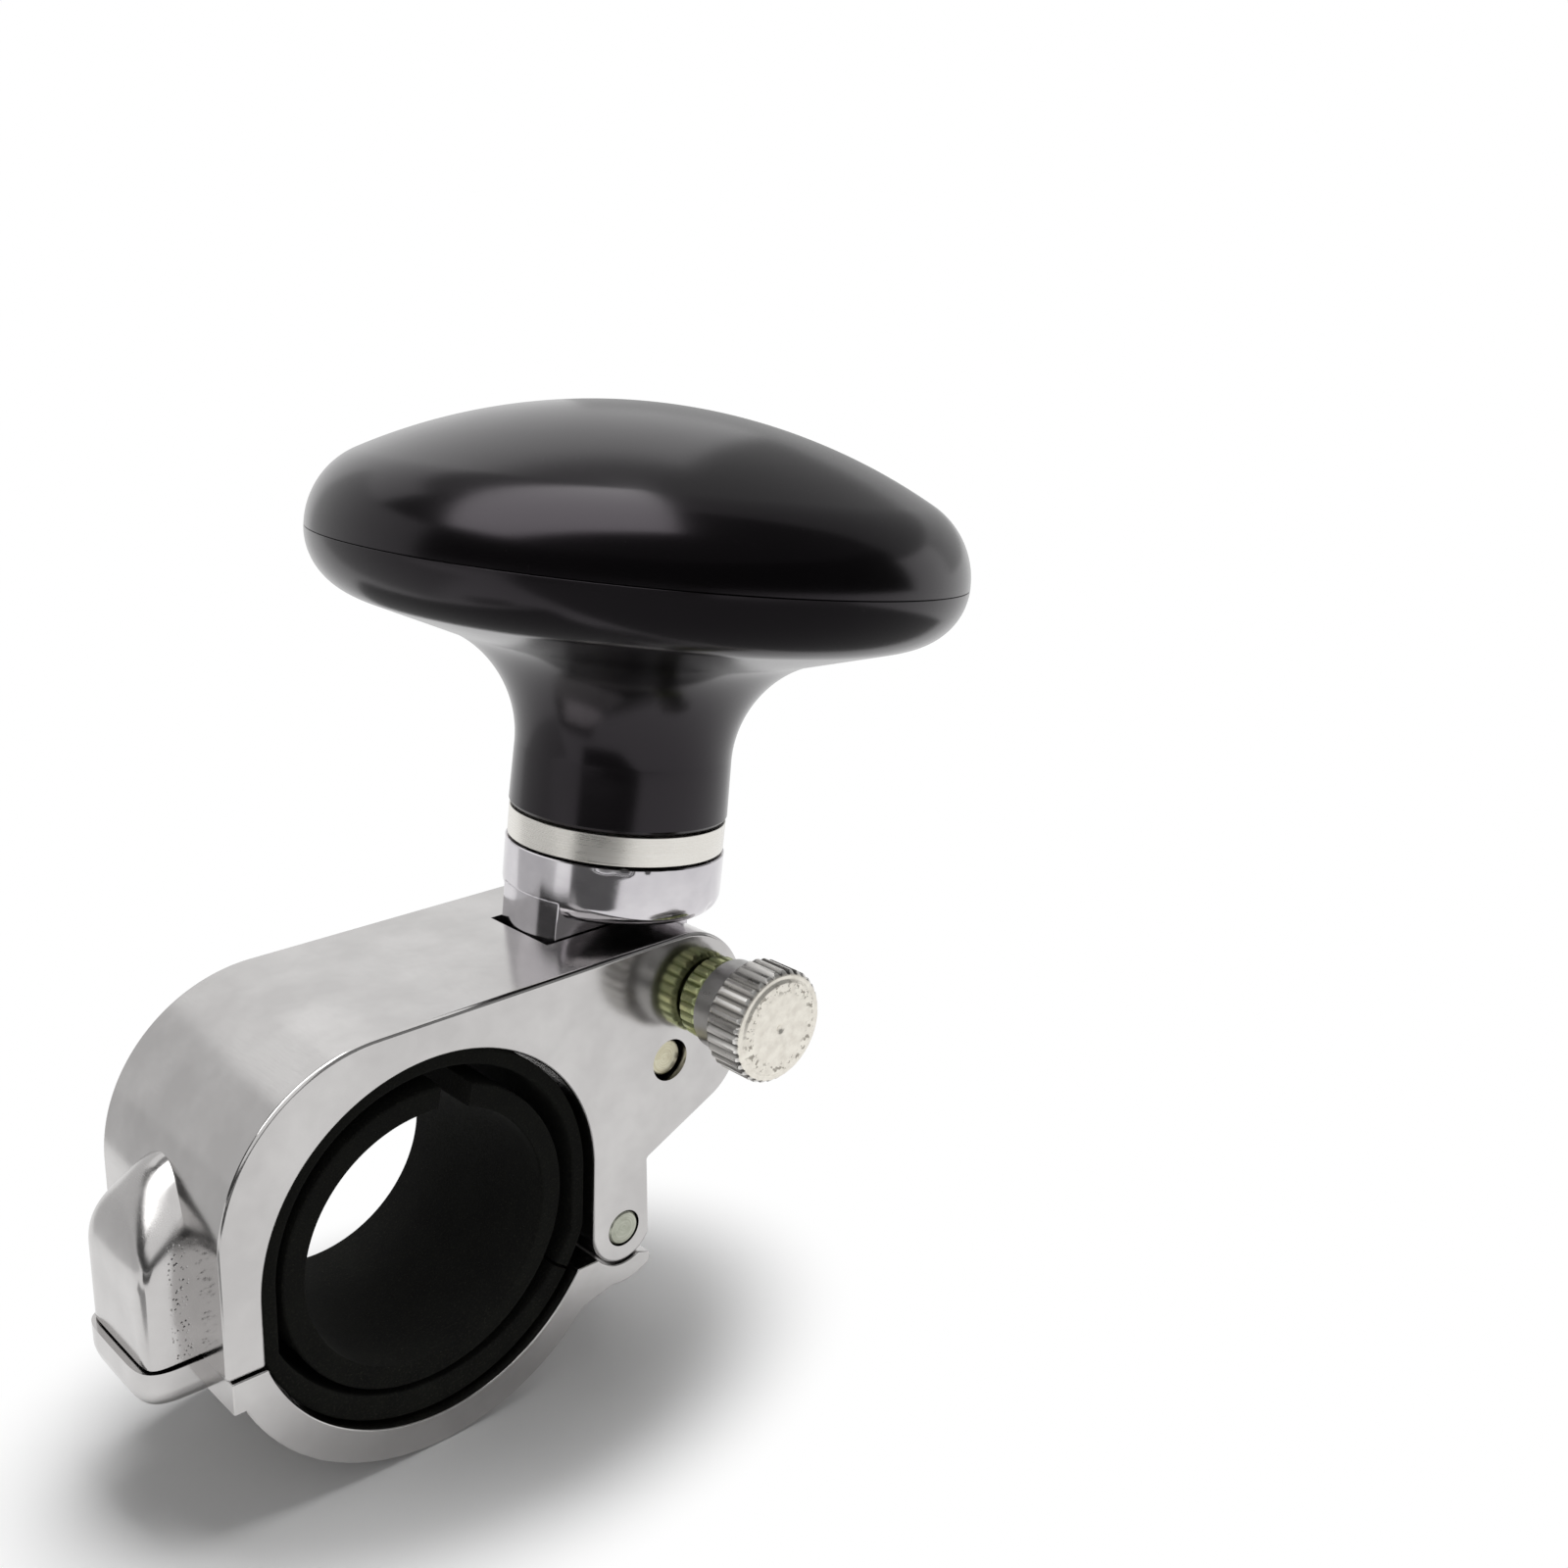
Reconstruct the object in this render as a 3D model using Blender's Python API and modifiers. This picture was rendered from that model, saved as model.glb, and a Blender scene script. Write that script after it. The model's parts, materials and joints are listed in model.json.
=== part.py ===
"""A folding steering wheel spinner knob: a hinged rim clamp, a sprung lock plunger, a pivoting arm
and a hollow knob that turns on two ball bearings.

Lengths are in metres. The origin is the centre of the clamp's round seat. +Y runs along the wheel
rim, away from the face with the plunger. +X runs towards the cap's hinge, and +Z towards the knob.
"""

import math

import bmesh
import bpy
from mathutils import Matrix, Vector

# Clearances
GAP = 0.0003  # between faces that meet
PIN_GAP = 0.0002  # round a pin or a shaft
BALL_GAP = 0.0002  # between a ball and its grooves

# Clamp
CLAMP_WIDTH = 0.0271
SEAT_RADIUS = 0.0213
SIDE_WALL = 0.0044
PARTING_HEIGHT = -0.0072
SHOULDER_RADIUS = 0.0190
TOP_SLOPE = math.radians(2.0)
EDGE_BEVEL = 0.0005

# Lug that carries the arm
LUG_CORNER_OUTREACH = 0.0129
LUG_CORNER_Z = 0.0170
LUG_CORNER_RADIUS = 0.0100
LUG_LOWER_RADIUS = 0.0080
LUG_UNDERCUT_ANGLE = math.radians(26.4)
NOTCH_OUTREACH = 0.0036
NOTCH_Z = -0.0009

# Hinge of the clamp cap
HINGE_Z = -0.0092
EAR_RADIUS = 0.0046
EAR_FLANK_ANGLE = math.radians(-25)
HINGE_PIN_RADIUS = 0.00215
KNUCKLE_RADIUS = 0.0043
KNUCKLE_WIDTH = 0.0104

# Clamp cap
CAP_SEAT_EASE = 0.0010
CAP_WALL = 0.0039
CAP_SIDE_INSET = 0.0005
CAP_FOOT_DEPTH = 0.0041
LEAF_TOP_DROP = 0.0030
LEAF_THICKNESS = 0.00265
LEAF_END_ANGLE = math.radians(-60)
LEAF_UNDER_ANGLE = math.radians(12)
CAP_OUTSIDE_END = math.radians(-41)

# Clamp screw with its boss and lug
SCREW_OUTREACH = 0.0005
SCREW_RADIUS = 0.0021
SCREW_ENGAGEMENT = 0.0087
SCREW_HEAD_RADIUS = 0.0036
SCREW_HEAD_HEIGHT = 0.0030
SCREW_SEAT_THICKNESS = 0.0023
SCREW_SOCKET_FLATS = 0.0030
SCREW_SOCKET_DEPTH = 0.0018
BOSS_OUTREACH = 0.0053
BOSS_HALF_WIDTH = 0.0072
BOSS_SHOULDER_HEIGHT = 0.0015
BOSS_TOP_HEIGHT = 0.0128
CAP_LUG_OUTREACH = 0.0061
CAP_LUG_HALF_WIDTH = 0.0077
CAP_LUG_THICKNESS = 0.0044
CORNER_SQUARENESS = 5.5

# Rubber liners
LINER_THICKNESS = 0.0018
LINER_FLOOR = 0.0032
LINER_LENGTH = 0.0265
LINER_SETBACK = 0.0013
LINER_SLIT = 0.0004
LINER_SLIT_ANGLE = math.radians(-34)
LINER_SIDE_EASE = 0.00032
RING_THICKNESS = 0.0027
RING_SINK = 0.0010
RING_REST_ANGLE = math.radians(225)
RING_SPLIT_WIDTH = 0.0040
RING_SPLIT_ANGLE = math.radians(80)

# Arm and its pivot
PIVOT_OUTREACH = 0.0112
PIVOT_Z = 0.0113
ARM_LEAN = math.radians(4.9)
FOLD_RANGE = math.radians(85)
TONGUE_WIDTH = 0.0105
TONGUE_END_OUTREACH = 0.0001
TONGUE_HEEL_HEIGHT = 0.0030
TONGUE_ROUND_RADIUS = 0.0085
COLLAR_BOTTOM = 0.0167
COLLAR_HEIGHT = 0.0072
COLLAR_INSET = 0.00025
COLLAR_ROUND = 0.0022
PIVOT_PIN_RADIUS = 0.00225
PIVOT_HOLE_GAP = 0.0004
PIVOT_PIN_RECESS = 0.0009
PIVOT_HEAD_RADIUS = 0.00575
PIVOT_HEAD_HEIGHT = 0.0016

# Lock plunger
PLUNGER_OUTREACH = 0.0167
PLUNGER_Z = 0.0185
PLUNGER_RADIUS = 0.0025
PLUNGER_ENGAGEMENT = 0.0032
PLUNGER_TRAVEL = 0.0035
PLUNGER_HEAD_LENGTH = 0.0060
STEM_RADIUS = 0.0016
BUSHING_HEAD_RADIUS = 0.0051
BUSHING_HEAD_LENGTH = 0.0032
BUSHING_BARREL_RADIUS = 0.0039
BUSHING_END_WALL = 0.0014
BUSHING_FLUTES = 24
BUSHING_FLUTE_DEPTH = 0.00030
SPRING_RADIUS = 0.0022
SPRING_WIRE_RADIUS = 0.00025
SPRING_TURNS = 5
PULL_KNOB_RADIUS = 0.0069
PULL_KNOB_TEETH = 34
PULL_KNOB_TOOTH_DEPTH = 0.0005
PULL_KNOB_COLLAR_LENGTH = 0.0033
PULL_KNOB_COLLAR_RADIUS = 0.0056
PULL_KNOB_GRIP_LENGTH = 0.0053
PULL_KNOB_CHAMFER = 0.0005
PULL_KNOB_FACE_HEIGHT = 0.0003
PULL_KNOB_DIMPLE_RADIUS = 0.0007
STEM_SEAT_DEPTH = 0.0052

# Knob head and neck
RING_HEIGHT = 0.0035
NECK_RING_INSET = 0.0002
NECK_INSET = 0.0003
NECK_FOOT_INSET = 0.0001
HEAD_RADIUS = 0.0380
EQUATOR_HEIGHT = 0.0585
DOME_HEIGHT = 0.0168
DOME_RIM_RADIUS = 0.0098
UNDER_RIM_RADIUS = 0.0070
UNDER_SLOPE = math.radians(17)
NECK_FILLET_RADIUS = 0.0140
SHELL_WALL = 0.0030
RIM_WALL = 0.0030
SPIGOT_WALL = 0.0017
SPIGOT_LENGTH = 0.0027

# Spindle and its bearings
SPINDLE_RADIUS = 0.0030
SPINDLE_SEAT_DEPTH = 0.0104
SPINDLE_FLANGE_RADIUS = 0.0048
SPINDLE_TIP = 0.0010
BEARING_OUTER_RADIUS = 0.0095
BEARING_WIDTH = 0.0060
BEARING_SPACING = 0.0127
RACE_WALL = 0.0018
BALL_RADIUS = 0.00175
BALLS_PER_BEARING = 7
CAGE_WALL = 0.0012
CAGE_FLOOR = 0.0005
CAGE_RISE = 0.0009
SPACER_RADIUS = 0.0046
WASHER_RADIUS = 0.0055
WASHER_THICKNESS = 0.0010
NUT_FLATS = 0.0100
NUT_HEIGHT = 0.0050

# Facets
FINE_STEPS = 48
SMALL_STEPS = 24
MERGE = 0.00001

# Sizes that follow from those above
CLAMP_FRONT = -CLAMP_WIDTH / 2
HINGE_X = SEAT_RADIUS + EAR_RADIUS
SIDE_X = -SEAT_RADIUS - SIDE_WALL
LUG_CORNER_X = SEAT_RADIUS + LUG_CORNER_OUTREACH
NOTCH_X = HINGE_X + NOTCH_OUTREACH
PIVOT_X = SEAT_RADIUS + PIVOT_OUTREACH
PLUNGER_X = SEAT_RADIUS + PLUNGER_OUTREACH
SCREW_X = SIDE_X - SCREW_OUTREACH
CAP_TOP = PARTING_HEIGHT - GAP
CAP_SEAT_RADIUS = SEAT_RADIUS + CAP_SEAT_EASE
CAP_SEAT_Z = PARTING_HEIGHT + math.sqrt(CAP_SEAT_RADIUS**2 - SEAT_RADIUS**2)
RING_OUTER_RADIUS = SEAT_RADIUS - LINER_THICKNESS - 2 * GAP - RING_SINK
RING_BORE_RADIUS = RING_OUTER_RADIUS - RING_THICKNESS
KNUCKLE_SPACE = KNUCKLE_WIDTH + 2 * GAP
SLOT_WIDTH = TONGUE_WIDTH + 2 * GAP
COLLAR_TOP = COLLAR_BOTTOM + COLLAR_HEIGHT
COLLAR_RADIUS = CLAMP_WIDTH / 2 - COLLAR_INSET
TONGUE_END_RADIUS = COLLAR_RADIUS + TONGUE_END_OUTREACH
NECK_RING_RADIUS = COLLAR_RADIUS - NECK_RING_INSET
NECK_RADIUS = COLLAR_RADIUS - NECK_INSET
NECK_FOOT_RADIUS = COLLAR_RADIUS - NECK_FOOT_INSET
RING_BOTTOM = COLLAR_TOP + GAP
RING_TOP = RING_BOTTOM + RING_HEIGHT
NECK_BOTTOM = RING_TOP + GAP
BEARING_SEAT_RADIUS = BEARING_OUTER_RADIUS + GAP
LOWER_BEARING = NECK_BOTTOM + 2 * GAP + BEARING_WIDTH / 2
UPPER_BEARING = LOWER_BEARING + BEARING_SPACING
RACE_BORE_RADIUS = SPINDLE_RADIUS + GAP
PITCH_RADIUS = (RACE_BORE_RADIUS + BEARING_OUTER_RADIUS) / 2
WASHER_BOTTOM = UPPER_BEARING + BEARING_WIDTH / 2 + GAP
NUT_BOTTOM = WASHER_BOTTOM + WASHER_THICKNESS + GAP
NUT_TOP = NUT_BOTTOM + NUT_HEIGHT
STEM_TOP = GAP + BUSHING_HEAD_LENGTH + GAP + STEM_SEAT_DEPTH

ROW_TO_FRONT = (math.pi / 2, 0, 0)  # turns local XY to world XZ, and local Z to world -Y


# Building blocks


def arc(centre, radius, start, end, steps):
    """Points of an arc from angle start to angle end, both included."""
    points = []
    for i in range(steps + 1):
        angle = start + (end - start) * i / steps
        points.append((centre[0] + radius * math.cos(angle), centre[1] + radius * math.sin(angle)))
    return points


def place(obj, parent=None, location=(0, 0, 0), rotation=(0, 0, 0), collection=None):
    """Links an object to a collection, under a parent, at a place in the parent's frame."""
    collection.objects.link(obj)
    obj.parent = parent
    obj.location = location
    obj.rotation_euler = rotation
    return obj


def axis_empty(name, collection, parent=None, location=(0, 0, 0), rotation=(0, 0, 0)):
    """An empty that marks the axis a group of pieces moves on."""
    return place(bpy.data.objects.new(name, None), parent, location, rotation, collection)


def turned(name, profile, collection, steps=SMALL_STEPS, closed=False, **where):
    """A solid of revolution about local Z from (radius, height) points, outer side downwards."""
    mesh = bpy.data.meshes.new(name)
    edges = [(i, i + 1) for i in range(len(profile) - 1)]
    if closed:
        edges.append((len(profile) - 1, 0))
    mesh.from_pydata([(radius, 0, height) for radius, height in profile], edges, [])
    obj = place(bpy.data.objects.new(name, mesh), collection=collection, **where)
    screw = obj.modifiers.new("Turn", "SCREW")
    screw.axis = "Z"
    screw.steps = steps
    screw.render_steps = steps
    screw.use_merge_vertices = True
    screw.merge_threshold = MERGE
    screw.use_smooth_shade = False
    return obj


def pin_profile(radius, bottom, top, chamfer=0.0):
    """The profile of a plain pin, from its top centre to its bottom centre."""
    if not chamfer:
        return [(0, top), (radius, top), (radius, bottom), (0, bottom)]
    return [
        (0, top),
        (radius - chamfer, top),
        (radius, top - chamfer),
        (radius, bottom + chamfer),
        (radius - chamfer, bottom),
        (0, bottom),
    ]


def tube_profile(inner, outer, bottom, top):
    """The closed profile of a plain tube."""
    return [(outer, top), (outer, bottom), (inner, bottom), (inner, top)]


def meshed(curve_object, collection):
    """The mesh of a curve object, welded and with its flat faces whole, in the curve's place."""
    graph = bpy.context.evaluated_depsgraph_get()
    mesh = bpy.data.meshes.new_from_object(curve_object.evaluated_get(graph))
    work = bmesh.new()
    work.from_mesh(mesh)
    bmesh.ops.remove_doubles(work, verts=work.verts, dist=MERGE)
    bmesh.ops.dissolve_limit(work, angle_limit=math.radians(0.5), verts=work.verts, edges=work.edges)
    bmesh.ops.recalc_face_normals(work, faces=work.faces)
    work.to_mesh(mesh)
    work.free()
    name = curve_object.name
    parent, basis = curve_object.parent, curve_object.matrix_basis.copy()
    bpy.data.objects.remove(curve_object)
    obj = bpy.data.objects.new(name, mesh)
    collection.objects.link(obj)
    obj.parent = parent
    obj.matrix_basis = basis
    return obj


def outline_solid(name, outlines, thickness, collection, **where):
    """A flat plate from closed outlines in local XY, centred on its plane."""
    curve = bpy.data.curves.new(name, "CURVE")
    curve.dimensions = "2D"
    curve.fill_mode = "BOTH"
    curve.extrude = thickness / 2
    for points in outlines:
        spline = curve.splines.new("POLY")
        spline.points.add(len(points) - 1)
        for point, (x, y) in zip(spline.points, points):
            point.co = (x, y, 0, 1)
        spline.use_cyclic_u = True
    obj = place(bpy.data.objects.new(name, curve), collection=collection, **where)
    bpy.context.view_layer.update()
    return meshed(obj, collection)


def loft(name, rings, collection, **where):
    """A closed solid through rings of equally many points, listed from the bottom ring up."""
    work = bmesh.new()
    rows = [[work.verts.new(point) for point in ring] for ring in rings]
    for low, high in zip(rows, rows[1:]):
        for i in range(len(low)):
            j = (i + 1) % len(low)
            work.faces.new((low[i], low[j], high[j], high[i]))
    work.faces.new(list(reversed(rows[0])))
    work.faces.new(rows[-1])
    bmesh.ops.recalc_face_normals(work, faces=work.faces)
    mesh = bpy.data.meshes.new(name)
    work.to_mesh(mesh)
    work.free()
    return place(bpy.data.objects.new(name, mesh), collection=collection, **where)


def box(name, low, high, collection, **where):
    """A box between two corners."""
    work = bmesh.new()
    size = Vector(high) - Vector(low)
    bmesh.ops.create_cube(work, size=1, matrix=Matrix.Diagonal(size).to_4x4())
    bmesh.ops.translate(work, verts=work.verts, vec=(Vector(high) + Vector(low)) / 2)
    mesh = bpy.data.meshes.new(name)
    work.to_mesh(mesh)
    work.free()
    return place(bpy.data.objects.new(name, mesh), collection=collection, **where)


def spheres(name, centres, radius, collection, **where):
    """One mesh of equal spheres."""
    work = bmesh.new()
    for centre in centres:
        bmesh.ops.create_uvsphere(
            work, u_segments=10, v_segments=6, radius=radius, matrix=Matrix.Translation(centre)
        )
    mesh = bpy.data.meshes.new(name)
    work.to_mesh(mesh)
    work.free()
    return place(bpy.data.objects.new(name, mesh), collection=collection, **where)


def combine(obj, other, operation):
    """Cuts from, joins to or intersects with another object, which becomes a hidden helper."""
    modifier = obj.modifiers.new(other.name, "BOOLEAN")
    modifier.operation = operation
    modifier.solver = "EXACT"
    modifier.object = other
    other.hide_render = True
    other.display_type = "WIRE"


def bevel(obj, width, angle=40):
    """Rounds the sharp edges."""
    modifier = obj.modifiers.new("Rounded edges", "BEVEL")
    modifier.width = width
    modifier.segments = 2
    modifier.limit_method = "ANGLE"
    modifier.angle_limit = math.radians(angle)


def polygon(radius, sides, turn=0.0):
    """The corners of a regular polygon."""
    return [
        (
            radius * math.cos(turn + 2 * math.pi * i / sides),
            radius * math.sin(turn + 2 * math.pi * i / sides),
        )
        for i in range(sides)
    ]


def toothed_outline(tip_radius, depth, teeth):
    """A knurled outline: each tooth has a narrow flat crest and a V groove beside it."""
    points = []
    for i in range(teeth):
        start = 2 * math.pi * i / teeth
        pitch = 2 * math.pi / teeth
        for share, radius in ((0.0, tip_radius), (0.3, tip_radius), (0.65, tip_radius - depth)):
            angle = start + share * pitch
            points.append((radius * math.cos(angle), radius * math.sin(angle)))
    return points


def tangent_from(point, radius):
    """The angle at which a line from a point touches a circle about the origin, on its lower side."""
    distance = math.hypot(*point)
    return math.atan2(point[1], point[0]) % (2 * math.pi) + math.acos(radius / distance)


# Materials


def finish(name, colour, roughness, metallic=0.0):
    """A plain surface finish."""
    material = bpy.data.materials.new(name)
    material.use_nodes = True
    shader = material.node_tree.nodes["Principled BSDF"]
    shader.inputs["Base Color"].default_value = (*colour, 1)
    shader.inputs["Roughness"].default_value = roughness
    shader.inputs["Metallic"].default_value = metallic
    material.diffuse_color = (*colour, 1)
    return material


def dress(obj, material):
    """Gives a piece its finish and shades its round faces smooth."""
    obj.data.materials.clear()
    obj.data.materials.append(material)
    if obj.type == "MESH":
        obj.data.shade_smooth()
        if obj.data.polygons:
            obj.data.set_sharp_from_angle(angle=math.radians(30))
    return obj


# Clamp saddle


def arm_to_clamp(sideways, along):
    """Turns a place in the arm's frame into the clamp's X and Z."""
    cos, sin = math.cos(ARM_LEAN), math.sin(ARM_LEAN)
    return (PIVOT_X + sideways * cos + along * sin, PIVOT_Z - sideways * sin + along * cos)


def lug_lower_centre():
    """The centre of the lug's lower corner, which touches its right side and its undercut."""
    x = LUG_CORNER_X + LUG_CORNER_RADIUS - LUG_LOWER_RADIUS
    across = LUG_LOWER_RADIUS + math.sin(LUG_UNDERCUT_ANGLE) * (x - NOTCH_X)
    return (x, NOTCH_Z + across / math.cos(LUG_UNDERCUT_ANGLE))


def saddle_outline():
    """The saddle seen from the front: shoulder, sloping top, lug, undercut, hinge ear and seat."""
    shoulder_x = SIDE_X + SHOULDER_RADIUS
    normal = (-math.sin(TOP_SLOPE), math.cos(TOP_SLOPE))
    top_offset = normal[0] * LUG_CORNER_X + normal[1] * LUG_CORNER_Z + LUG_CORNER_RADIUS
    shoulder_z = (top_offset - SHOULDER_RADIUS - normal[0] * shoulder_x) / normal[1]
    upright = math.pi / 2 + TOP_SLOPE
    points = [(SIDE_X, PARTING_HEIGHT)]
    points += arc((shoulder_x, shoulder_z), SHOULDER_RADIUS, math.pi, upright, 14)
    points += arc((LUG_CORNER_X, LUG_CORNER_Z), LUG_CORNER_RADIUS, upright, 0, 12)
    points += arc(lug_lower_centre(), LUG_LOWER_RADIUS, 0, LUG_UNDERCUT_ANGLE - math.pi / 2, 8)
    points.append((NOTCH_X, NOTCH_Z))
    points += arc((HINGE_X, HINGE_Z), EAR_RADIUS, EAR_FLANK_ANGLE, -math.pi, 14)
    points += arc((0, 0), SEAT_RADIUS, 0, math.pi, 32)
    points.append((-SEAT_RADIUS, PARTING_HEIGHT))
    return points


def slot_outline():
    """The slot in the lug: the tongue with its clearance, open above and to the right."""
    heel = (-TONGUE_END_RADIUS - GAP, TONGUE_HEEL_HEIGHT - GAP)
    radius = TONGUE_ROUND_RADIUS + GAP
    beyond = 2 * COLLAR_TOP
    points = [arm_to_clamp(heel[0], beyond), arm_to_clamp(*heel)]
    start = tangent_from(heel, radius)
    for x, z in arc((0, 0), radius, start, 3 * math.pi / 2 + ARM_LEAN, 10):
        points.append(arm_to_clamp(x, z))
    right = LUG_CORNER_X + 2 * LUG_CORNER_RADIUS
    points += [(right, PIVOT_Z - radius), (right, PIVOT_Z + beyond)]
    return points


def half_plan(outreach, half_width, height):
    """One level of a boss on the clamp's side: a rounded rectangle that grows out of the wall."""
    root = SIDE_X + SIDE_WALL / 2
    reach = outreach + SIDE_WALL / 2
    points = []
    steps = 12
    for i in range(steps + 1):
        angle = math.pi / 2 + math.pi * i / steps
        cos, sin = math.cos(angle), math.sin(angle)
        x = root - reach * abs(cos) ** (2 / CORNER_SQUARENESS)
        y = half_width * math.copysign(abs(sin) ** (2 / CORNER_SQUARENESS), sin)
        points.append((x, y, height))
    return points


def boss_rings():
    """The levels of the bullet-nosed screw boss, from the parting line up."""
    rings = [half_plan(BOSS_OUTREACH, BOSS_HALF_WIDTH, PARTING_HEIGHT)]
    nose = BOSS_TOP_HEIGHT - BOSS_SHOULDER_HEIGHT
    steps = 8
    for i in range(steps + 1):
        angle = math.pi / 2 * i / steps
        share = math.cos(angle)
        outreach = -SIDE_WALL / 2 + (BOSS_OUTREACH + SIDE_WALL / 2) * max(share, 0.12)
        width = BOSS_HALF_WIDTH * max(share, 0.12)
        rings.append(half_plan(outreach, width, BOSS_SHOULDER_HEIGHT + nose * math.sin(angle)))
    return rings


def screw_hole_rings():
    """The screw's hole in the boss, drawn out where the screw's tip swings out with the cap."""
    tip = PARTING_HEIGHT + SCREW_ENGAGEMENT
    outer = HINGE_X - SCREW_X + SCREW_RADIUS
    tip_reach = math.hypot(outer, tip - HINGE_Z)
    radius = SCREW_RADIUS + GAP
    rings = []
    steps = 6
    for i in range(steps + 1):
        height = PARTING_HEIGHT - GAP + (SCREW_ENGAGEMENT + 2 * GAP) * i / steps
        swing = max(math.sqrt(tip_reach**2 - (height - HINGE_Z) ** 2) - outer, 0)
        ring = []
        for x, y in polygon(1, SMALL_STEPS):
            ring.append((SCREW_X + x * (radius + (swing if x < 0 else 0)), y * radius, height))
        rings.append(ring)
    return rings


def build_saddle(parts, cutters, axes):
    """The upper half of the clamp, with the lug, the hinge ears and the screw boss."""
    front = dict(rotation=ROW_TO_FRONT)
    saddle = outline_solid("saddle", [saddle_outline()], CLAMP_WIDTH, parts, **front)
    bevel(saddle, EDGE_BEVEL)
    combine(saddle, loft("screw_boss", boss_rings(), cutters), "UNION")
    slot = outline_solid("arm_slot", [slot_outline()], SLOT_WIDTH, cutters, **front)
    combine(saddle, slot, "DIFFERENCE")
    hinge = dict(location=(HINGE_X, 0, HINGE_Z), rotation=ROW_TO_FRONT)
    room = pin_profile(EAR_RADIUS + 3 * GAP, -KNUCKLE_SPACE / 2, KNUCKLE_SPACE / 2)
    combine(saddle, turned("knuckle_room", room, cutters, **hinge), "DIFFERENCE")
    bore = pin_profile(HINGE_PIN_RADIUS + PIN_GAP, -CLAMP_WIDTH, CLAMP_WIDTH)
    combine(saddle, turned("hinge_bore", bore, cutters, **hinge), "DIFFERENCE")
    pivot = dict(location=(PIVOT_X, 0, PIVOT_Z), rotation=ROW_TO_FRONT)
    bore = pin_profile(PIVOT_PIN_RADIUS + PIVOT_HOLE_GAP, -CLAMP_WIDTH, CLAMP_WIDTH)
    combine(saddle, turned("pivot_bore", bore, cutters, **pivot), "DIFFERENCE")
    bore = pin_profile(BUSHING_BARREL_RADIUS + GAP, -CLAMP_WIDTH / 2, CLAMP_WIDTH / 2)
    plunger = turned("bushing_bore", bore, cutters, parent=axes["plunger"])
    combine(saddle, plunger, "DIFFERENCE")
    combine(saddle, loft("screw_hole", screw_hole_rings(), cutters), "DIFFERENCE")
    return saddle


# Clamp cap


def cap_outline():
    """The cap seen from the front: foot, round outside, hinge leaf and seat."""
    outer = CAP_SEAT_RADIUS + CAP_WALL
    centre = (0, CAP_SEAT_Z)
    side_x = SIDE_X + CAP_SIDE_INSET
    foot_z = PARTING_HEIGHT - CAP_FOOT_DEPTH
    foot_angle = math.pi + math.asin((CAP_SEAT_Z - foot_z) / outer)
    leaf_inner = EAR_RADIUS + GAP
    leaf_outer = leaf_inner + LEAF_THICKNESS
    leaf_top_z = HINGE_Z - LEAF_TOP_DROP
    pin = (HINGE_X, HINGE_Z)
    tip_radius = LEAF_THICKNESS * 0.45
    points = [(side_x, CAP_TOP), (side_x, foot_z)]
    points += arc(centre, outer, foot_angle, 2 * math.pi + CAP_OUTSIDE_END, 36)
    below = -math.pi / 2
    points += arc(pin, leaf_outer, below - LEAF_UNDER_ANGLE, below + LEAF_UNDER_ANGLE, 3)
    middle = leaf_outer - tip_radius
    tip = (HINGE_X + middle * math.cos(LEAF_END_ANGLE), HINGE_Z + middle * math.sin(LEAF_END_ANGLE))
    points += arc(tip, tip_radius, LEAF_END_ANGLE - 0.4, LEAF_END_ANGLE + math.pi / 2, 6)
    left_end = math.pi + math.asin(LEAF_TOP_DROP / leaf_inner)
    points += arc(pin, leaf_inner, LEAF_END_ANGLE, left_end - 2 * math.pi, 12)
    seat_start = math.asin((leaf_top_z - CAP_SEAT_Z) / CAP_SEAT_RADIUS)
    seat_end = -math.pi - math.asin((CAP_TOP - CAP_SEAT_Z) / CAP_SEAT_RADIUS)
    points += arc(centre, CAP_SEAT_RADIUS, seat_start, seat_end, 32)
    return points


def cap_lug_rings():
    """The levels of the lug that takes the clamp screw, from its rounded bottom up."""
    bottom = CAP_TOP - CAP_LUG_THICKNESS
    rounding = CAP_LUG_THICKNESS / 2
    rings = []
    steps = 4
    for i in range(steps + 1):
        angle = math.pi / 2 * i / steps
        inset = rounding * (1 - math.sin(angle)) * 0.6
        height = bottom + rounding * (1 - math.cos(angle))
        rings.append(half_plan(CAP_LUG_OUTREACH - inset, CAP_LUG_HALF_WIDTH - inset, height))
    rings.append(half_plan(CAP_LUG_OUTREACH, CAP_LUG_HALF_WIDTH, CAP_TOP))
    return rings


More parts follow.
